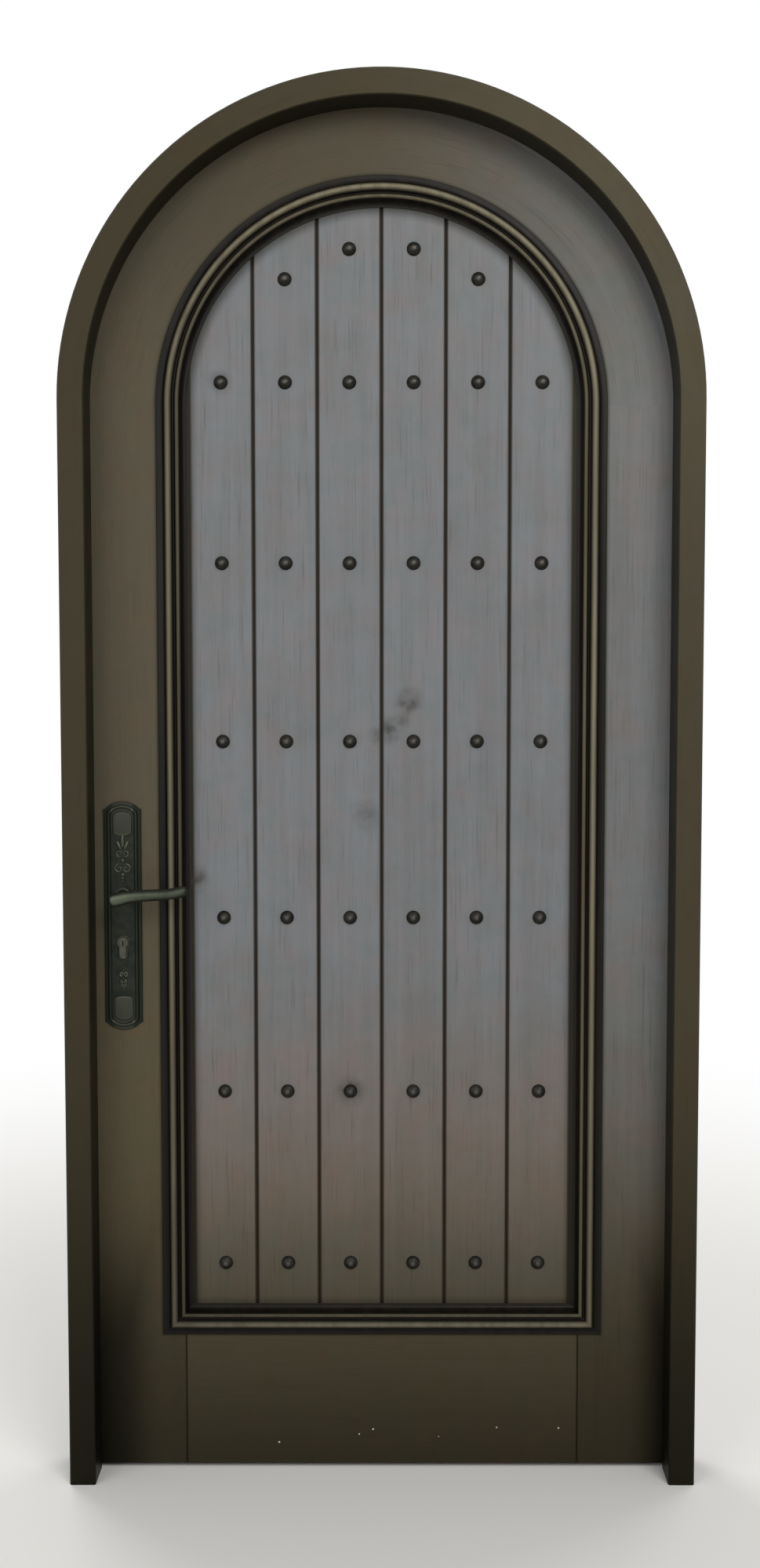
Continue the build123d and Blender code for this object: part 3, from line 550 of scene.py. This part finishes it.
def relief(middle_z, size, towards):
    """Scrolls, leaves and beads in the sunk field, growing away from the lever."""

    def place(across, along):
        return hub_x + across * size, middle_z + towards * along * size

    pieces = []
    for side in (-1, 1):
        for way, across, along, radius, turns, thick in scrolls:
            centre = place(side * across, along)
            start = -way * towards * pi / 2
            pieces.append(scroll(way * side * towards, centre, radius * size, turns, start, thick))
        lean = side * towards * 0.42
        pieces.append(bud(place(side * 0.0046, 0.0165), 0.0023 * size, 0.0066 * size, 0.0022, lean))
    pieces.append(bud(place(0, 0.0215), 0.0025 * size, 0.0088 * size, 0.0026))
    pieces.append(bud(place(0, -0.0025), 0.0024 * size, 0.0024 * size, 0.0024))
    for step in range(3):
        bead = (0.0024 - 0.0004 * step) * size
        pieces.append(bud(place(0, -(0.0205 + 0.0042 * step)), bead, bead, 0.0022))
    return pieces


def collar():
    """Turned ring under the lever's neck."""
    deselect()
    bpy.ops.mesh.primitive_cylinder_add(
        vertices=48, radius=collar_radius, depth=collar_height,
        location=(hub_x, plate_front - collar_height / 2, hub_z), rotation=(pi / 2, 0, 0),
    )
    piece = named("plate_collar")
    edit_end(piece, -1)
    for width, rise in ((0.0008, 0.0006), (0.0016, -0.0004)):
        bpy.ops.mesh.inset(thickness=width, depth=0)
        bpy.ops.transform.translate(value=(0, -rise, 0))
    leave_edit()
    return piece


def bored(piece):
    """Cut the ways for the lever's neck and the cylinder."""
    deselect()
    bpy.ops.mesh.primitive_cylinder_add(
        vertices=48, radius=neck_radius + way_play, depth=way_length, location=(hub_x, face_y, hub_z),
        rotation=(pi / 2, 0, 0),
    )
    hub_cutter = named("hub_cutter")
    cylinder_cutter = raised("cylinder_cutter", euro_outline(way_play), face_y + 0.02, way_length)
    for cutter in (hub_cutter, cylinder_cutter):
        pick(piece)
        cut = piece.modifiers.new("way", "BOOLEAN")
        cut.object = cutter
        cut.solver = "EXACT"
        cut.operation = "DIFFERENCE"
        bpy.ops.object.modifier_apply(modifier=cut.name)
        bpy.data.objects.remove(cutter)
    return piece


def lock_plates(finish):
    """Outside and inside plate with rim, end panels, collar and relief."""
    pierced = [bored(piece) for piece in (plate_base_slab(), plate_rim(), collar(), escutcheon())]
    carved = relief(*upper_ornament, 1) + relief(*lower_ornament, -1)
    plate = joined("outside_plate", pierced + [end_panel(1), end_panel(-1)] + carved)
    smooth(plate, 35)
    inner = turned_over(plate, "inside_plate")
    smooth(inner, 35)
    dress(plate, "leaf", "dark_bronze", finish, "front_plate")
    dress(inner, "leaf", "dark_bronze", finish, "rear_plate")


# Levers


def lever_ring(place, along, toward):
    """One oval of the grip, square to its line."""
    x, z, full = place
    tall = (lever_tall[0] + (lever_tall[1] - lever_tall[0]) * along) * full
    deep = (lever_deep[0] + (lever_deep[1] - lever_deep[0]) * along) * full
    axis = Vector((toward[0], 0, toward[1])).normalized()
    across = Vector((0, 1, 0))
    turn = Matrix((across, axis.cross(across), axis)).transposed().to_euler()
    deselect()
    bpy.ops.mesh.primitive_circle_add(
        vertices=20, radius=0.5, location=(hub_x + x, grip_y, hub_z + z), rotation=turn
    )
    bpy.context.object.scale = (deep, tall, 1)
    return named("ring")


def lever_grip():
    """Wave-shaped grip: ovals bridged one to the next, capped and subdivided."""
    rings = []
    last = len(lever_line) - 1
    for number, place in enumerate(lever_line):
        before = lever_line[max(number - 1, 0)]
        after = lever_line[min(number + 1, last)]
        toward = (after[0] - before[0], after[1] - before[1])
        rings.append(lever_ring(place, number / last, toward))
    grip = joined("lever_grip", rings)
    edit()
    bpy.ops.mesh.bridge_edge_loops()
    bpy.ops.mesh.select_all(action="SELECT")
    bpy.ops.mesh.fill_holes(sides=0)
    close_up()
    pick(grip)
    soften = grip.modifiers.new("soften", "SUBSURF")
    soften.levels = 1
    soften.render_levels = 1
    bpy.ops.object.modifier_apply(modifier=soften.name)
    return grip


def lever_neck():
    """Turned neck between the collar and the grip, waisted in its middle."""
    foot_radius, foot_y = neck_profile[0]
    deselect()
    bpy.ops.mesh.primitive_circle_add(
        vertices=32, radius=foot_radius, location=(hub_x, foot_y, hub_z), rotation=(pi / 2, 0, 0),
        fill_type="NGON",
    )
    neck = named("lever_neck")
    edit()
    for (wide, y), (next_wide, next_y) in zip(neck_profile, neck_profile[1:]):
        push((0, next_y - y, 0))
        share = next_wide / wide
        bpy.ops.transform.resize(value=(share, 1, share), center_override=(hub_x, next_y, hub_z))
    close_up()
    return neck


def levers(finish):
    """Outside and inside lever."""
    lever = joined("outside_lever", [lever_grip(), lever_neck()])
    smooth(lever, 60)
    inner = turned_over(lever, "inside_lever")
    smooth(inner, 60)
    dress(lever, "handle", "dark_bronze", finish, "front_lever")
    dress(inner, "handle", "dark_bronze", finish, "rear_lever")


# Nodes


def feed(socket, value):
    """Set a socket, or link it where the value comes from another node."""
    if isinstance(value, bpy.types.NodeSocket):
        socket.id_data.links.new(value, socket)
    elif isinstance(value, tuple) and len(value) == 3 and socket.type == "RGBA":
        socket.default_value = (*value, 1)
    else:
        socket.default_value = value


class Nodes:
    """A node tree and the arithmetic in it."""

    def __init__(self, tree):
        self.tree = tree

    def add(self, kind):
        return self.tree.nodes.new(f"ShaderNode{kind}")

    def math(self, operation, first, second=0.0):
        node = self.add("Math")
        node.operation = operation
        feed(node.inputs[0], first)
        feed(node.inputs[1], second)
        return node.outputs[0]

    def plus(self, first, second):
        return self.math("ADD", first, second)

    def minus(self, first, second):
        return self.math("SUBTRACT", first, second)

    def times(self, first, second):
        return self.math("MULTIPLY", first, second)

    def larger(self, first, second):
        return self.math("MAXIMUM", first, second)

    def above(self, value, limit):
        """1 over the limit and 0 below it."""
        return self.math("GREATER_THAN", value, limit)

    def unsigned(self, value):
        return self.math("ABSOLUTE", value)

    def distance(self, across, up):
        return self.math("SQRT", self.plus(self.times(across, across), self.times(up, up)))

    def ease(self, value, start, end, low=0.0, high=1.0, way="SMOOTHSTEP"):
        """A change from low to high as the value goes from start to end."""
        node = self.add("MapRange")
        node.interpolation_type = way
        for socket, number in zip(node.inputs, (value, start, end, low, high)):
            feed(socket, number)
        return node.outputs[0]


class Finish(Nodes):
    """A material that is put together from a few kinds of node."""

    def __init__(self, name, roughness, metallic=0.0, specular=0.5):
        self.material = bpy.data.materials.new(name)
        self.material.use_nodes = True
        super().__init__(self.material.node_tree)
        self.shader = self.tree.nodes["Principled BSDF"]
        self.shader.inputs["Roughness"].default_value = roughness
        self.shader.inputs["Metallic"].default_value = metallic
        self.shader.inputs["Specular IOR Level"].default_value = specular
        self.place = self.add("TexCoord").outputs["Object"]
        split = self.add("SeparateXYZ")
        feed(split.inputs[0], self.place)
        self.x, self.y, self.z = split.outputs

    def noise(self, place, scale, detail=4.0, roughness=0.55, distortion=0.0):
        node = self.add("TexNoise")
        feed(node.inputs["Vector"], place)
        node.inputs["Scale"].default_value = scale
        node.inputs["Detail"].default_value = detail
        node.inputs["Roughness"].default_value = roughness
        node.inputs["Distortion"].default_value = distortion
        return node.outputs["Fac"]

    def stretched(self, place, scale, offset=(0.0, 0.0, 0.0)):
        node = self.add("Mapping")
        feed(node.inputs["Vector"], place)
        node.inputs["Location"].default_value = offset
        node.inputs["Scale"].default_value = scale
        return node.outputs[0]

    def blend(self, factor, first, second, way="MIX"):
        node = self.add("Mix")
        node.data_type = "RGBA"
        node.blend_type = way
        feed(node.inputs[0], factor)
        feed(node.inputs[6], first)
        feed(node.inputs[7], second)
        return node.outputs[2]

    def tinted(self, factor, colour, cast):
        """The colour, multiplied by a cast as far as the factor says."""
        return self.blend(factor, colour, cast, "MULTIPLY")

    def shaded(self, colour, value, start, end, low, high=1.0):
        """The colour, darkened by a share that goes from low to high with the value."""
        share = self.ease(value, start, end, low, high)
        return self.tinted(1.0, colour, self.ramp(share, [(0.0, 0.0), (1.0, 1.0)]))

    def ramp(self, value, stops):
        """Grey levels or colours at places from 0 to 1."""
        node = self.add("ValToRGB")
        steps = node.color_ramp.elements
        while len(steps) < len(stops):
            steps.new(0.5)
        for step, (position, colour) in zip(steps, stops):
            step.position = position
            step.color = (*colour, 1) if isinstance(colour, tuple) else (colour, colour, colour, 1)
        feed(node.inputs[0], value)
        return node.outputs[0]

    def bump(self, height, strength, distance=0.001):
        node = self.add("Bump")
        node.inputs["Strength"].default_value = strength
        node.inputs["Distance"].default_value = distance
        feed(node.inputs["Height"], height)
        feed(self.shader.inputs["Normal"], node.outputs[0])

    def colour(self, value):
        feed(self.shader.inputs["Base Color"], value)

    def roughness(self, value):
        feed(self.shader.inputs["Roughness"], value)

    def near(self, x, z, radius, depth=0.0):
        """How near a place on the outside is: 1 at it, 0 from the radius on and behind the depth."""
        away = self.distance(self.minus(self.x, x), self.minus(self.z, z))
        return self.times(self.ease(away, 0.0, radius, 1.0, 0.0), self.math("LESS_THAN", self.y, depth))

    def from_arch(self):
        """Distance from the arch's centre, or from the middle below it."""
        return self.distance(self.x, self.larger(self.minus(self.z, arch_z), 0.0))

    def from_panel(self):
        """The same for the whole panel: it equals the opening's half width all round its edge."""
        return self.larger(self.from_arch(), self.minus(rail_top + opening, self.z))

    def along_arch(self):
        """Coordinates that follow a curved piece: outwards, into the door and along the curve."""
        over = self.minus(self.z, arch_z)
        around = self.times(self.math("ARCTAN2", over, self.x), opening + 0.1)
        node = self.add("CombineXYZ")
        for socket, value in zip(node.inputs, (self.distance(self.x, over), self.y, around)):
            feed(socket, value)
        return node.outputs[0]


# Finishes of the wood

# Colours
stain = (0.083, 0.0695, 0.043)
# Grey haze: partly weathering, partly painted sheen
bloom_and_sheen = (0.168, 0.178, 0.192)
dark_pore = (0.022, 0.015, 0.009)
joint_shadow = (0.020, 0.014, 0.009)
smudge = (0.03, 0.027, 0.024)
droplet = (0.42, 0.41, 0.38)
bare_chip = (0.32, 0.28, 0.2)
oiled_gloss = (1.0, 0.93, 0.6, 1)

# Casts that a colour is multiplied by
reddish = (1.12, 0.955, 0.93)
greenish = (0.86, 0.93, 0.88)
warm = (1.16, 1.045, 1.0)
cool = (0.965, 1.0, 1.14)

# Moulding's painted highlights on the bead crests and painted shade in its hollows, across its section
bead_crest_highlight = (0.185, 0.164, 0.110)
small_crest_highlight = (0.088, 0.077, 0.048)
fillet_shade = (0.009, 0.0075, 0.005)
lip_shade = (0.020, 0.017, 0.012)
throat_shade = (0.008, 0.007, 0.004)
hollow_shade = (0.004, 0.003, 0.002)

# Marks on the boards, by number: place, radius and strength
smudges = {
    1: ((-0.292, 0.941, 0.030, 0.85), (-0.247, 1.704, 0.024, 0.6)),
    3: (
        (-0.026, 1.039, 0.034, 0.35),
        (-board_pitch / 2, 0.604, 0.030, 0.85),
        (-0.006, 1.163, 0.020, 0.5),
    ),
    4: ((0.041, 1.216, 0.030, 0.75), (0.010, 1.170, 0.028, 0.7), (0.030, 1.186, 0.022, 0.4)),
}

# Droplets on the bottom rail: place and radius
droplets = (
    (-0.163, 0.041, 0.0026),
    (-0.036, 0.054, 0.0022),
    (-0.014, 0.062, 0.0026),
    (0.182, 0.065, 0.0020),
    (0.280, 0.064, 0.0024),
    (0.090, 0.050, 0.0014),
)


def scaled(colour, share):
    return tuple(share * channel for channel in colour)


def grain(finish, run, offset):
    """Streaks and fine pores along the wood. run is upright, level or arch."""
    place = finish.along_arch() if run == "arch" else finish.place
    coarse, fine = (46, 46, 1.6), (420, 420, 9)
    if run == "level":
        coarse, fine = coarse[::-1], fine[::-1]
    shift = (offset, offset * 1.7, offset * 0.6)
    streaks = finish.noise(finish.stretched(place, coarse, shift), 1.0, 6.0, 0.62, 0.6)
    pores = finish.noise(finish.stretched(place, fine, shift), 1.0, 3.0, 0.6)
    return streaks, pores


def wood(
    name, run, offset, haze_and_sheen=(0.0, 1.0), across=(0.0, 0.4), share=(1.0, 1.0), foot=(0.05, 0.6, 0.4), tone=1.0
):
    """Dark stained mahogany with a grey haze, partly weathering and partly painted sheen, and painted shade at
    its foot.

    The haze and its painted sheen come up between the two heights of hazed. Between the two places of across
    it changes from the first share to the second. foot gives two heights of the painted shade and the part of
    the colour that is left at the lower.
    """
    finish = Finish(name, 0.42, specular=0.16)
    finish.shader.inputs["Specular Tint"].default_value = oiled_gloss
    streaks, pores = grain(finish, run, offset)
    clouds = finish.noise(finish.place, 7.0, 3.0, 0.5)
    mottle = finish.noise(finish.place, 38.0, 4.0, 0.6)
    redder = finish.noise(finish.stretched(finish.place, (1, 1, 1), (offset, 0.3, offset)), 17.0, 5.0, 0.65)
    amount = finish.times(finish.ease(finish.z, *haze_and_sheen), finish.ease(finish.x, *across, *share))
    amount = finish.times(amount, finish.ease(clouds, 0.3, 0.7, 0.9, 1.05))
    # Grey haze, partly weathering and partly painted sheen, rising with height and across the door
    colour = finish.blend(amount, scaled(stain, tone), scaled(bloom_and_sheen, tone))
    colour = finish.tinted(finish.ease(redder, 0.42, 0.68, 0.0, 0.75), colour, reddish)
    colour = finish.tinted(finish.ease(mottle, 0.4, 0.7, 0.0, 0.5), colour, greenish)
    colour = finish.blend(finish.ease(streaks, 0.35, 0.68, 0.0, 0.13), colour, scaled(stain, 0.55 * tone))
    colour = finish.blend(finish.ease(pores, 0.56, 0.72, 0.0, 0.26), colour, dark_pore)
    finish.roughness(finish.ease(clouds, 0.25, 0.75, 0.38, 0.5))
    finish.bump(finish.plus(streaks, finish.times(pores, 0.6)), 0.14, 0.0006)
    # Painted shade towards the foot
    return finish, finish.shaded(colour, finish.z, *foot)


def smudged(finish, colour, marks):
    """Add dark rubbed marks with uneven edges."""
    rough = finish.noise(finish.place, 60.0, 4.0, 0.6)
    uneven = finish.ease(rough, 0.3, 0.7, 0.35, 1.2)
    for x, z, radius, strength in marks:
        rubbed = finish.times(finish.near(x, z, radius), strength)
        colour = finish.blend(finish.times(rubbed, uneven), colour, smudge)
    return colour


def board_finish(number):
    """One board: its own grain, dark V joints, redder near its foot, painted shade beside the mouldings, and
    the marks that fall on it.
    """
    finish, colour = wood(f"board_{number}_wood", "upright", 3.1 * number, (0.1, 0.95), foot=(0.05, 0.52, 0.5))
    into_board = finish.math("MODULO", finish.plus(finish.x, board_pitch * 10.5), board_pitch)
    off_joint = finish.unsigned(finish.minus(into_board, board_pitch / 2))
    colour = finish.blend(finish.ease(off_joint, 0.0014, 0.0052, 0.9, 0.0), colour, joint_shadow)
    redder = finish.times(finish.ease(finish.z, 0.33, 0.45), finish.ease(finish.z, 0.78, 0.55))
    colour = finish.tinted(redder, colour, warm)
    # Painted shade on the boards beside the side and arched mouldings, and above the bottom one
    colour = finish.shaded(colour, finish.from_arch(), opening - 0.009, opening - 0.028, 0.36)
    colour = finish.shaded(colour, finish.z, rail_top + 0.009, rail_top + 0.024, 0.66)
    finish.colour(smudged(finish, colour, smudges.get(number, ())))
    return finish.material


def specked(finish, colour):
    """Add small pale droplets."""
    for x, z, radius in droplets:
        colour = finish.blend(finish.above(finish.near(x, z, radius), 0.35), colour, droplet)
    return colour


def moulding_finish(name):
    """Painted highlights on the bead crests and painted shade in the hollows, by their distance from the
    panel's edge.
    """
    finish = Finish(name, 0.42, specular=0.14)
    streaks = finish.noise(finish.stretched(finish.place, (60, 60, 3)), 1.0, 5.0, 0.6)
    inner = opening - moulding_on_boards
    outer = opening + moulding_on_stile
    big, small = big_bead_offset, small_bead_offset
    lip = inner_flat - moulding_on_boards
    fillet = moulding_on_stile - moulding_fillet
    # Painted highlights and painted shade across the section, from the boards out to the stile
    tones = (
        (-moulding_on_boards, lip_shade),
        (lip - 0.001, throat_shade),
        (lip + 0.0025, hollow_shade),
        (small - small_bead, hollow_shade),
        (small - 0.0015, small_crest_highlight),
        (small + 0.0013, small_crest_highlight),
        (small + small_bead, hollow_shade),
        (big - big_bead - 0.0006, hollow_shade),
        (big - 0.001, bead_crest_highlight),
        (big + 0.001, bead_crest_highlight),
        (big + big_bead + 0.0004, hollow_shade),
        (fillet - 0.0022, hollow_shade),
        (fillet, fillet_shade),
        (moulding_on_stile - 0.0012, fillet_shade),
        (moulding_on_stile - 0.0004, hollow_shade),
    )
    stops = [((offset + moulding_on_boards) / (outer - inner), tone) for offset, tone in tones]
    colour = finish.ramp(finish.ease(finish.from_panel(), inner, outer, way="LINEAR"), stops)
    colour = finish.blend(finish.ease(streaks, 0.35, 0.7, 0.0, 0.35), colour, dark_pore)
    # Painted shade: darker towards the latch side and towards the bottom
    colour = finish.shaded(colour, finish.x, -0.36, -0.1, 0.7)
    finish.colour(finish.shaded(colour, finish.z, 0.1, 0.7, 0.7))
    finish.bump(streaks, 0.12, 0.0005)
    return finish.material


def wear(node, finish):
    """Give a CAD node its finish and smooth its round faces."""
    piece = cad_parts[node]
    piece.data.materials.clear()
    piece.data.materials.append(finish)
    smooth(piece, 28)


def frame_finishes():
    """Jambs and arched head: brown, with painted shade in the reveal, at the feet and towards the left, and a
    little greyer on the right.
    """
    runs = (("latch_jamb", "upright", 1.0), ("hinge_jamb", "upright", 5.0), ("head_arch", "arch", 9.0))
    for node, run, offset in runs:
        finish, colour = wood(
            f"{node}_wood", run, offset, haze_and_sheen=(0.7, 1.5), across=(-0.3, 0.5), share=(0.0, 0.06),
            foot=(0.02, 0.78, 0.08), tone=0.55,
        )
        # Painted shade on the reveal's faces
        colour = finish.shaded(colour, finish.from_arch(), reveal + 0.0002, reveal + 0.0025, 0.3)
        # Painted shade towards the latch side
        colour = finish.shaded(colour, finish.x, -0.5, 0.3, 0.76)
        if node == "latch_jamb":
            chip = finish.above(finish.near(-0.446, 0.02, 0.005, -0.084), 0.3)
            colour = finish.blend(chip, colour, bare_chip)
        finish.colour(colour)
        wear(node, finish.material)


def framing_wood(node, run, offset):
    """Stiles and arched rail: greyer towards the hinges, partly painted sheen; darker at the top; painted
    shadow of the jambs low down beside them.
    """
    finish, colour = wood(
        f"{node}_wood", run, offset, haze_and_sheen=(0.15, 0.95), across=(-0.05, 0.47), share=(0.0, 0.85),
        foot=(0.0, 0.62, 0.27),
    )
    # Painted shadow of the jambs: darker low down and near the jambs
    side = finish.larger(finish.minus(0.0, finish.x), finish.minus(finish.x, 0.035))
    in_jamb_shadow = finish.ease(side, 0.325, 0.44)
    clear = finish.larger(finish.ease(finish.z, 0.1, 0.5), finish.minus(1.0, in_jamb_shadow))
    colour = finish.shaded(colour, clear, 0.0, 1.0, 0.1)
    colour = finish.shaded(colour, finish.z, 1.96, 1.6, 0.8)
    cooler = finish.times(finish.ease(finish.z, 0.55, 1.0), finish.ease(finish.x, 0.25, 0.0))
    return finish, finish.tinted(cooler, colour, cool)


def rail_wood():
    """Bottom rail: plain stain, painted shade at its foot, with droplets."""
    finish, colour = wood("bottom_rail_wood", "level", 6.0, foot=(-0.1, 0.5, 0.2), share=(0.0, 0.0))
    return finish, specked(finish, colour)


def leaf_finishes():
    """Framing and boards of the leaf, with painted shade beside the moulding, and dark in the joints."""
    framing = {
        "latch_stile": framing_wood("latch_stile", "upright", 2.0),
        "hinge_stile": framing_wood("hinge_stile", "upright", 7.0),
        "arched_rail": framing_wood("arched_rail", "arch", 4.0),
        "bottom_rail": rail_wood(),
    }
    for node, (finish, colour) in framing.items():
        # Painted shade on the framing just outside the front moulding, none on the inside face
        inside = finish.above(finish.y, 0.0)
        off_moulding = finish.plus(finish.from_panel(), inside)
        beside = opening + moulding_on_stile
        colour = finish.shaded(colour, off_moulding, beside - 0.0005, beside + 0.006, 0.45)
        off_joint = finish.unsigned(finish.minus(finish.unsigned(finish.x), opening))
        off_joint = finish.larger(off_joint, finish.minus(finish.z, rail_top))
        finish.colour(finish.shaded(colour, off_joint, 0.0004, 0.0026, 0.12))
        wear(node, finish.material)
    for number in range(1, board_count + 1):
        wear(f"plank_{number}", board_finish(number))


# Finishes of the metal

# Colours of each bronze: its ground, its blotches and its painted highlight
plate_tones = ((0.013, 0.017, 0.011), (0.024, 0.027, 0.020), (0.080, 0.082, 0.062))
lever_tones = ((0.014, 0.018, 0.012), (0.022, 0.026, 0.018), (0.090, 0.104, 0.072))
nail_tones = ((0.014, 0.013, 0.010), (0.026, 0.024, 0.020), (0.085, 0.076, 0.066))
cylinder_tones = ((0.050, 0.052, 0.040), (0.085, 0.085, 0.066))
bronze_speck = (0.008, 0.012, 0.008)
plate_panel = (0.033, 0.036, 0.026)
plate_border = (0.009, 0.013, 0.007)


def bronze_finish(name, tones, roughness, rubbed=None):
    """Dark patinated metal, mottled. rubbed gives the depths between which it turns to its painted highlight.
    """
    finish = Finish(name, roughness, metallic=0.6, specular=0.25)
    blotches = finish.noise(finish.place, 90.0, 5.0, 0.6)
    specks = finish.noise(finish.place, 600.0, 3.0, 0.6)
    colour = finish.blend(finish.ease(blotches, 0.35, 0.65), tones[0], tones[1])
    colour = finish.blend(finish.ease(specks, 0.55, 0.7, 0.0, 0.5), colour, bronze_speck)
    if rubbed:
        # Painted highlight on the parts that stand furthest out
        front = finish.ease(finish.unsigned(finish.y), *rubbed)
        front = finish.times(front, finish.ease(blotches, 0.25, 0.75, 0.7, 1.0))
        colour = finish.blend(front, colour, tones[2])
    finish.roughness(finish.ease(blotches, 0.3, 0.7, roughness - 0.08, roughness + 0.12))
    finish.bump(finish.plus(blotches, finish.times(specks, 0.4)), 0.12, 0.0005)
    finish.colour(colour)
    return finish, colour


def plate_finish():
    """Lock plate: near black border, browner field and end panels, painted highlight on the raised ornament.
    """
    # Painted highlight on the raised ornament
    rubbed = (-plate_front + 0.0010, -plate_front + 0.0017)
    finish, colour = bronze_finish("plate_bronze", plate_tones, 0.46, rubbed)
    across = finish.unsigned(finish.minus(finish.x, hub_x))
    up = finish.unsigned(finish.minus(finish.z, plate_middle_z))
    panel = finish.times(finish.ease(up, 0.126, 0.130), finish.ease(across, 0.013, 0.0155, 1.0, 0.0))
    colour = finish.blend(finish.times(panel, 0.8), colour, plate_panel)
    finish.colour(finish.blend(finish.ease(across, 0.0160, 0.0185, 0.0, 0.85), colour, plate_border))
    return finish.material


def brushed_finish(name, colour, run, roughness):
    """Plain metal with fine brushing along one axis."""
    finish = Finish(name, roughness, metallic=1.0)
    lines = finish.noise(finish.stretched(finish.place, run), 1.0, 3.0, 0.6)
    tarnish = finish.noise(finish.place, 40.0, 4.0, 0.6)
    finish.colour(finish.blend(finish.ease(tarnish, 0.35, 0.7), colour, scaled(colour, 0.6)))
    finish.roughness(finish.ease(lines, 0.3, 0.7, roughness - 0.08, roughness + 0.1))
    finish.bump(lines, 0.08, 0.0003)
    return finish.material


def metal_finishes(bronze):
    """Hinges, lock and its bolts."""
    hinge = brushed_finish("hinge_steel", (0.34, 0.33, 0.31), (200, 200, 14), 0.34)
    lock = brushed_finish("lock_steel", (0.42, 0.42, 0.41), (260, 260, 20), 0.36)
    screw = brushed_finish("screw_steel", (0.30, 0.30, 0.29), (300, 300, 300), 0.4)
    brass = brushed_finish("lock_brass", (0.42, 0.33, 0.17), (240, 240, 16), 0.34)
    blackened = bronze_finish("cylinder_bronze", cylinder_tones, 0.4)[0].material
    worn_by = {
        hinge: ("hinge_frame_leaves", "hinge_door_leaves", "hinge_pins"),
        lock: (
            "strike_plate", "spindle", "lock_follower", "lock_case", "lock_cover", "latch_bolt", "deadbolt",
        ),
        screw: (
            "strike_screws", "forend_screws", "hinge_frame_screws", "hinge_door_screws", "cylinder_screw",
        ),
        brass: ("lock_forend", "hinge_washers"),
        blackened: ("cylinder_body", "front_plug", "rear_plug"),
        bronze: ("plate_bolts",),
    }
    for finish, nodes in worn_by.items():
        for node in nodes:
            wear(node, finish)


# Studio

white_from = 0.9  # the floor starts to turn white this far out
white_at = 3.2
light_all_round = 0.42
lamps = (
    ("key", (1.5, -3.4, 3.4), 2.2, 95),
    ("fill", (-2.4, -3.0, 2.0), 2.6, 45),
    ("behind_left", (-2.2, 3.2, 3.0), 2.4, 80),
    ("behind_right", (2.6, 2.8, 2.0), 2.4, 45),
)
lamps_aim = Vector((0, 0, 1.1))


def studio_floor():
    """Pale floor that keeps the door's shadow, and turns white to the camera further out."""
    deselect()
    bpy.ops.mesh.primitive_plane_add(size=30, location=(0, 0, 0))
    floor = named("studio_floor")
    pale = Finish("pale_floor", 0.9)
    pale.colour((0.78, 0.77, 0.74))
    away = pale.add("VectorMath")
    away.operation = "LENGTH"
    feed(away.inputs[0], pale.place)
    far = pale.ease(away.outputs["Value"], white_from, white_at)
    seen = pale.times(far, pale.add("LightPath").outputs["Is Camera Ray"])
    mixed = pale.add("MixShader")
    for socket, value in zip(mixed.inputs, (seen, pale.shader.outputs[0], pale.add("Emission").outputs[0])):
        feed(socket, value)
    feed(pale.tree.nodes["Material Output"].inputs["Surface"], mixed.outputs[0])
    floor.data.materials.append(pale.material)


def studio_world():
    """Even light, and white where the camera or a gloss looks past the door."""
    world = bpy.data.worlds.new("studio")
    world.use_nodes = True
    bpy.context.scene.world = world
    background = world.node_tree.nodes["Background"]
    background.inputs["Color"].default_value = (1, 1, 1, 1)
    sky = Nodes(world.node_tree)
    rays = sky.add("LightPath").outputs
    seen = sky.larger(rays["Is Camera Ray"], rays["Is Glossy Ray"])
    seen = sky.larger(seen, rays["Is Transmission Ray"])
    feed(background.inputs["Strength"], sky.ease(seen, 0.0, 1.0, light_all_round, 1.0, way="LINEAR"))


def studio_lights():
    """Soft square lamps, all aimed at the middle of the door."""
    for name, place, size, power in lamps:
        bpy.ops.object.light_add(type="AREA", location=place)
        light = bpy.context.object
        light.name = name
        light.data.size = size
        light.data.energy = power
        light.rotation_euler = (lamps_aim - Vector(place)).to_track_quat("-Z", "Y").to_euler()


def camera():
    """The photograph's camera: nearly square to the door and a little above its middle."""
    bpy.ops.object.camera_add(location=(0.003, -2.627, 1.256))
    viewer = bpy.context.object
    viewer.rotation_euler = Euler((radians(90 - 3.68), radians(0.03), radians(0.12)))
    viewer.data.lens = 38.69
    viewer.data.sensor_width = 36
    bpy.context.scene.camera = viewer


moulding_wood = moulding_finish("moulding_wood")
bead_wood, bead_colour = wood("rear_bead_wood", "upright", 8.0, (0.3, 1.2), share=(0.4, 0.5))
bead_wood.colour(bead_colour)
plate_bronze = plate_finish()
# Painted highlight along the front of the lever's grip
lever_highlight = (grip_front - 0.0034, grip_front - 0.0006)
lever_bronze = bronze_finish("lever_bronze", lever_tones, 0.44, lever_highlight)[0].material
# Painted highlight on the crown of each nail
nail_highlight = (0.0071 - board_y, 0.0080 - board_y)
nail_iron = bronze_finish("nail_iron", nail_tones, 0.44, nail_highlight)[0].material

frame_finishes()
leaf_finishes()
metal_finishes(plate_bronze)
mouldings("front", "moulding", moulding_outline(), moulding_on_stile, moulding_wood)
mouldings("rear", "bead", bead_outline(), -hidden_fit, bead_wood.material)
nails(nail_iron)
lock_plates(plate_bronze)
levers(lever_bronze)

studio_floor()
studio_world()
studio_lights()
camera()
bpy.context.scene.view_settings.view_transform = "Standard"
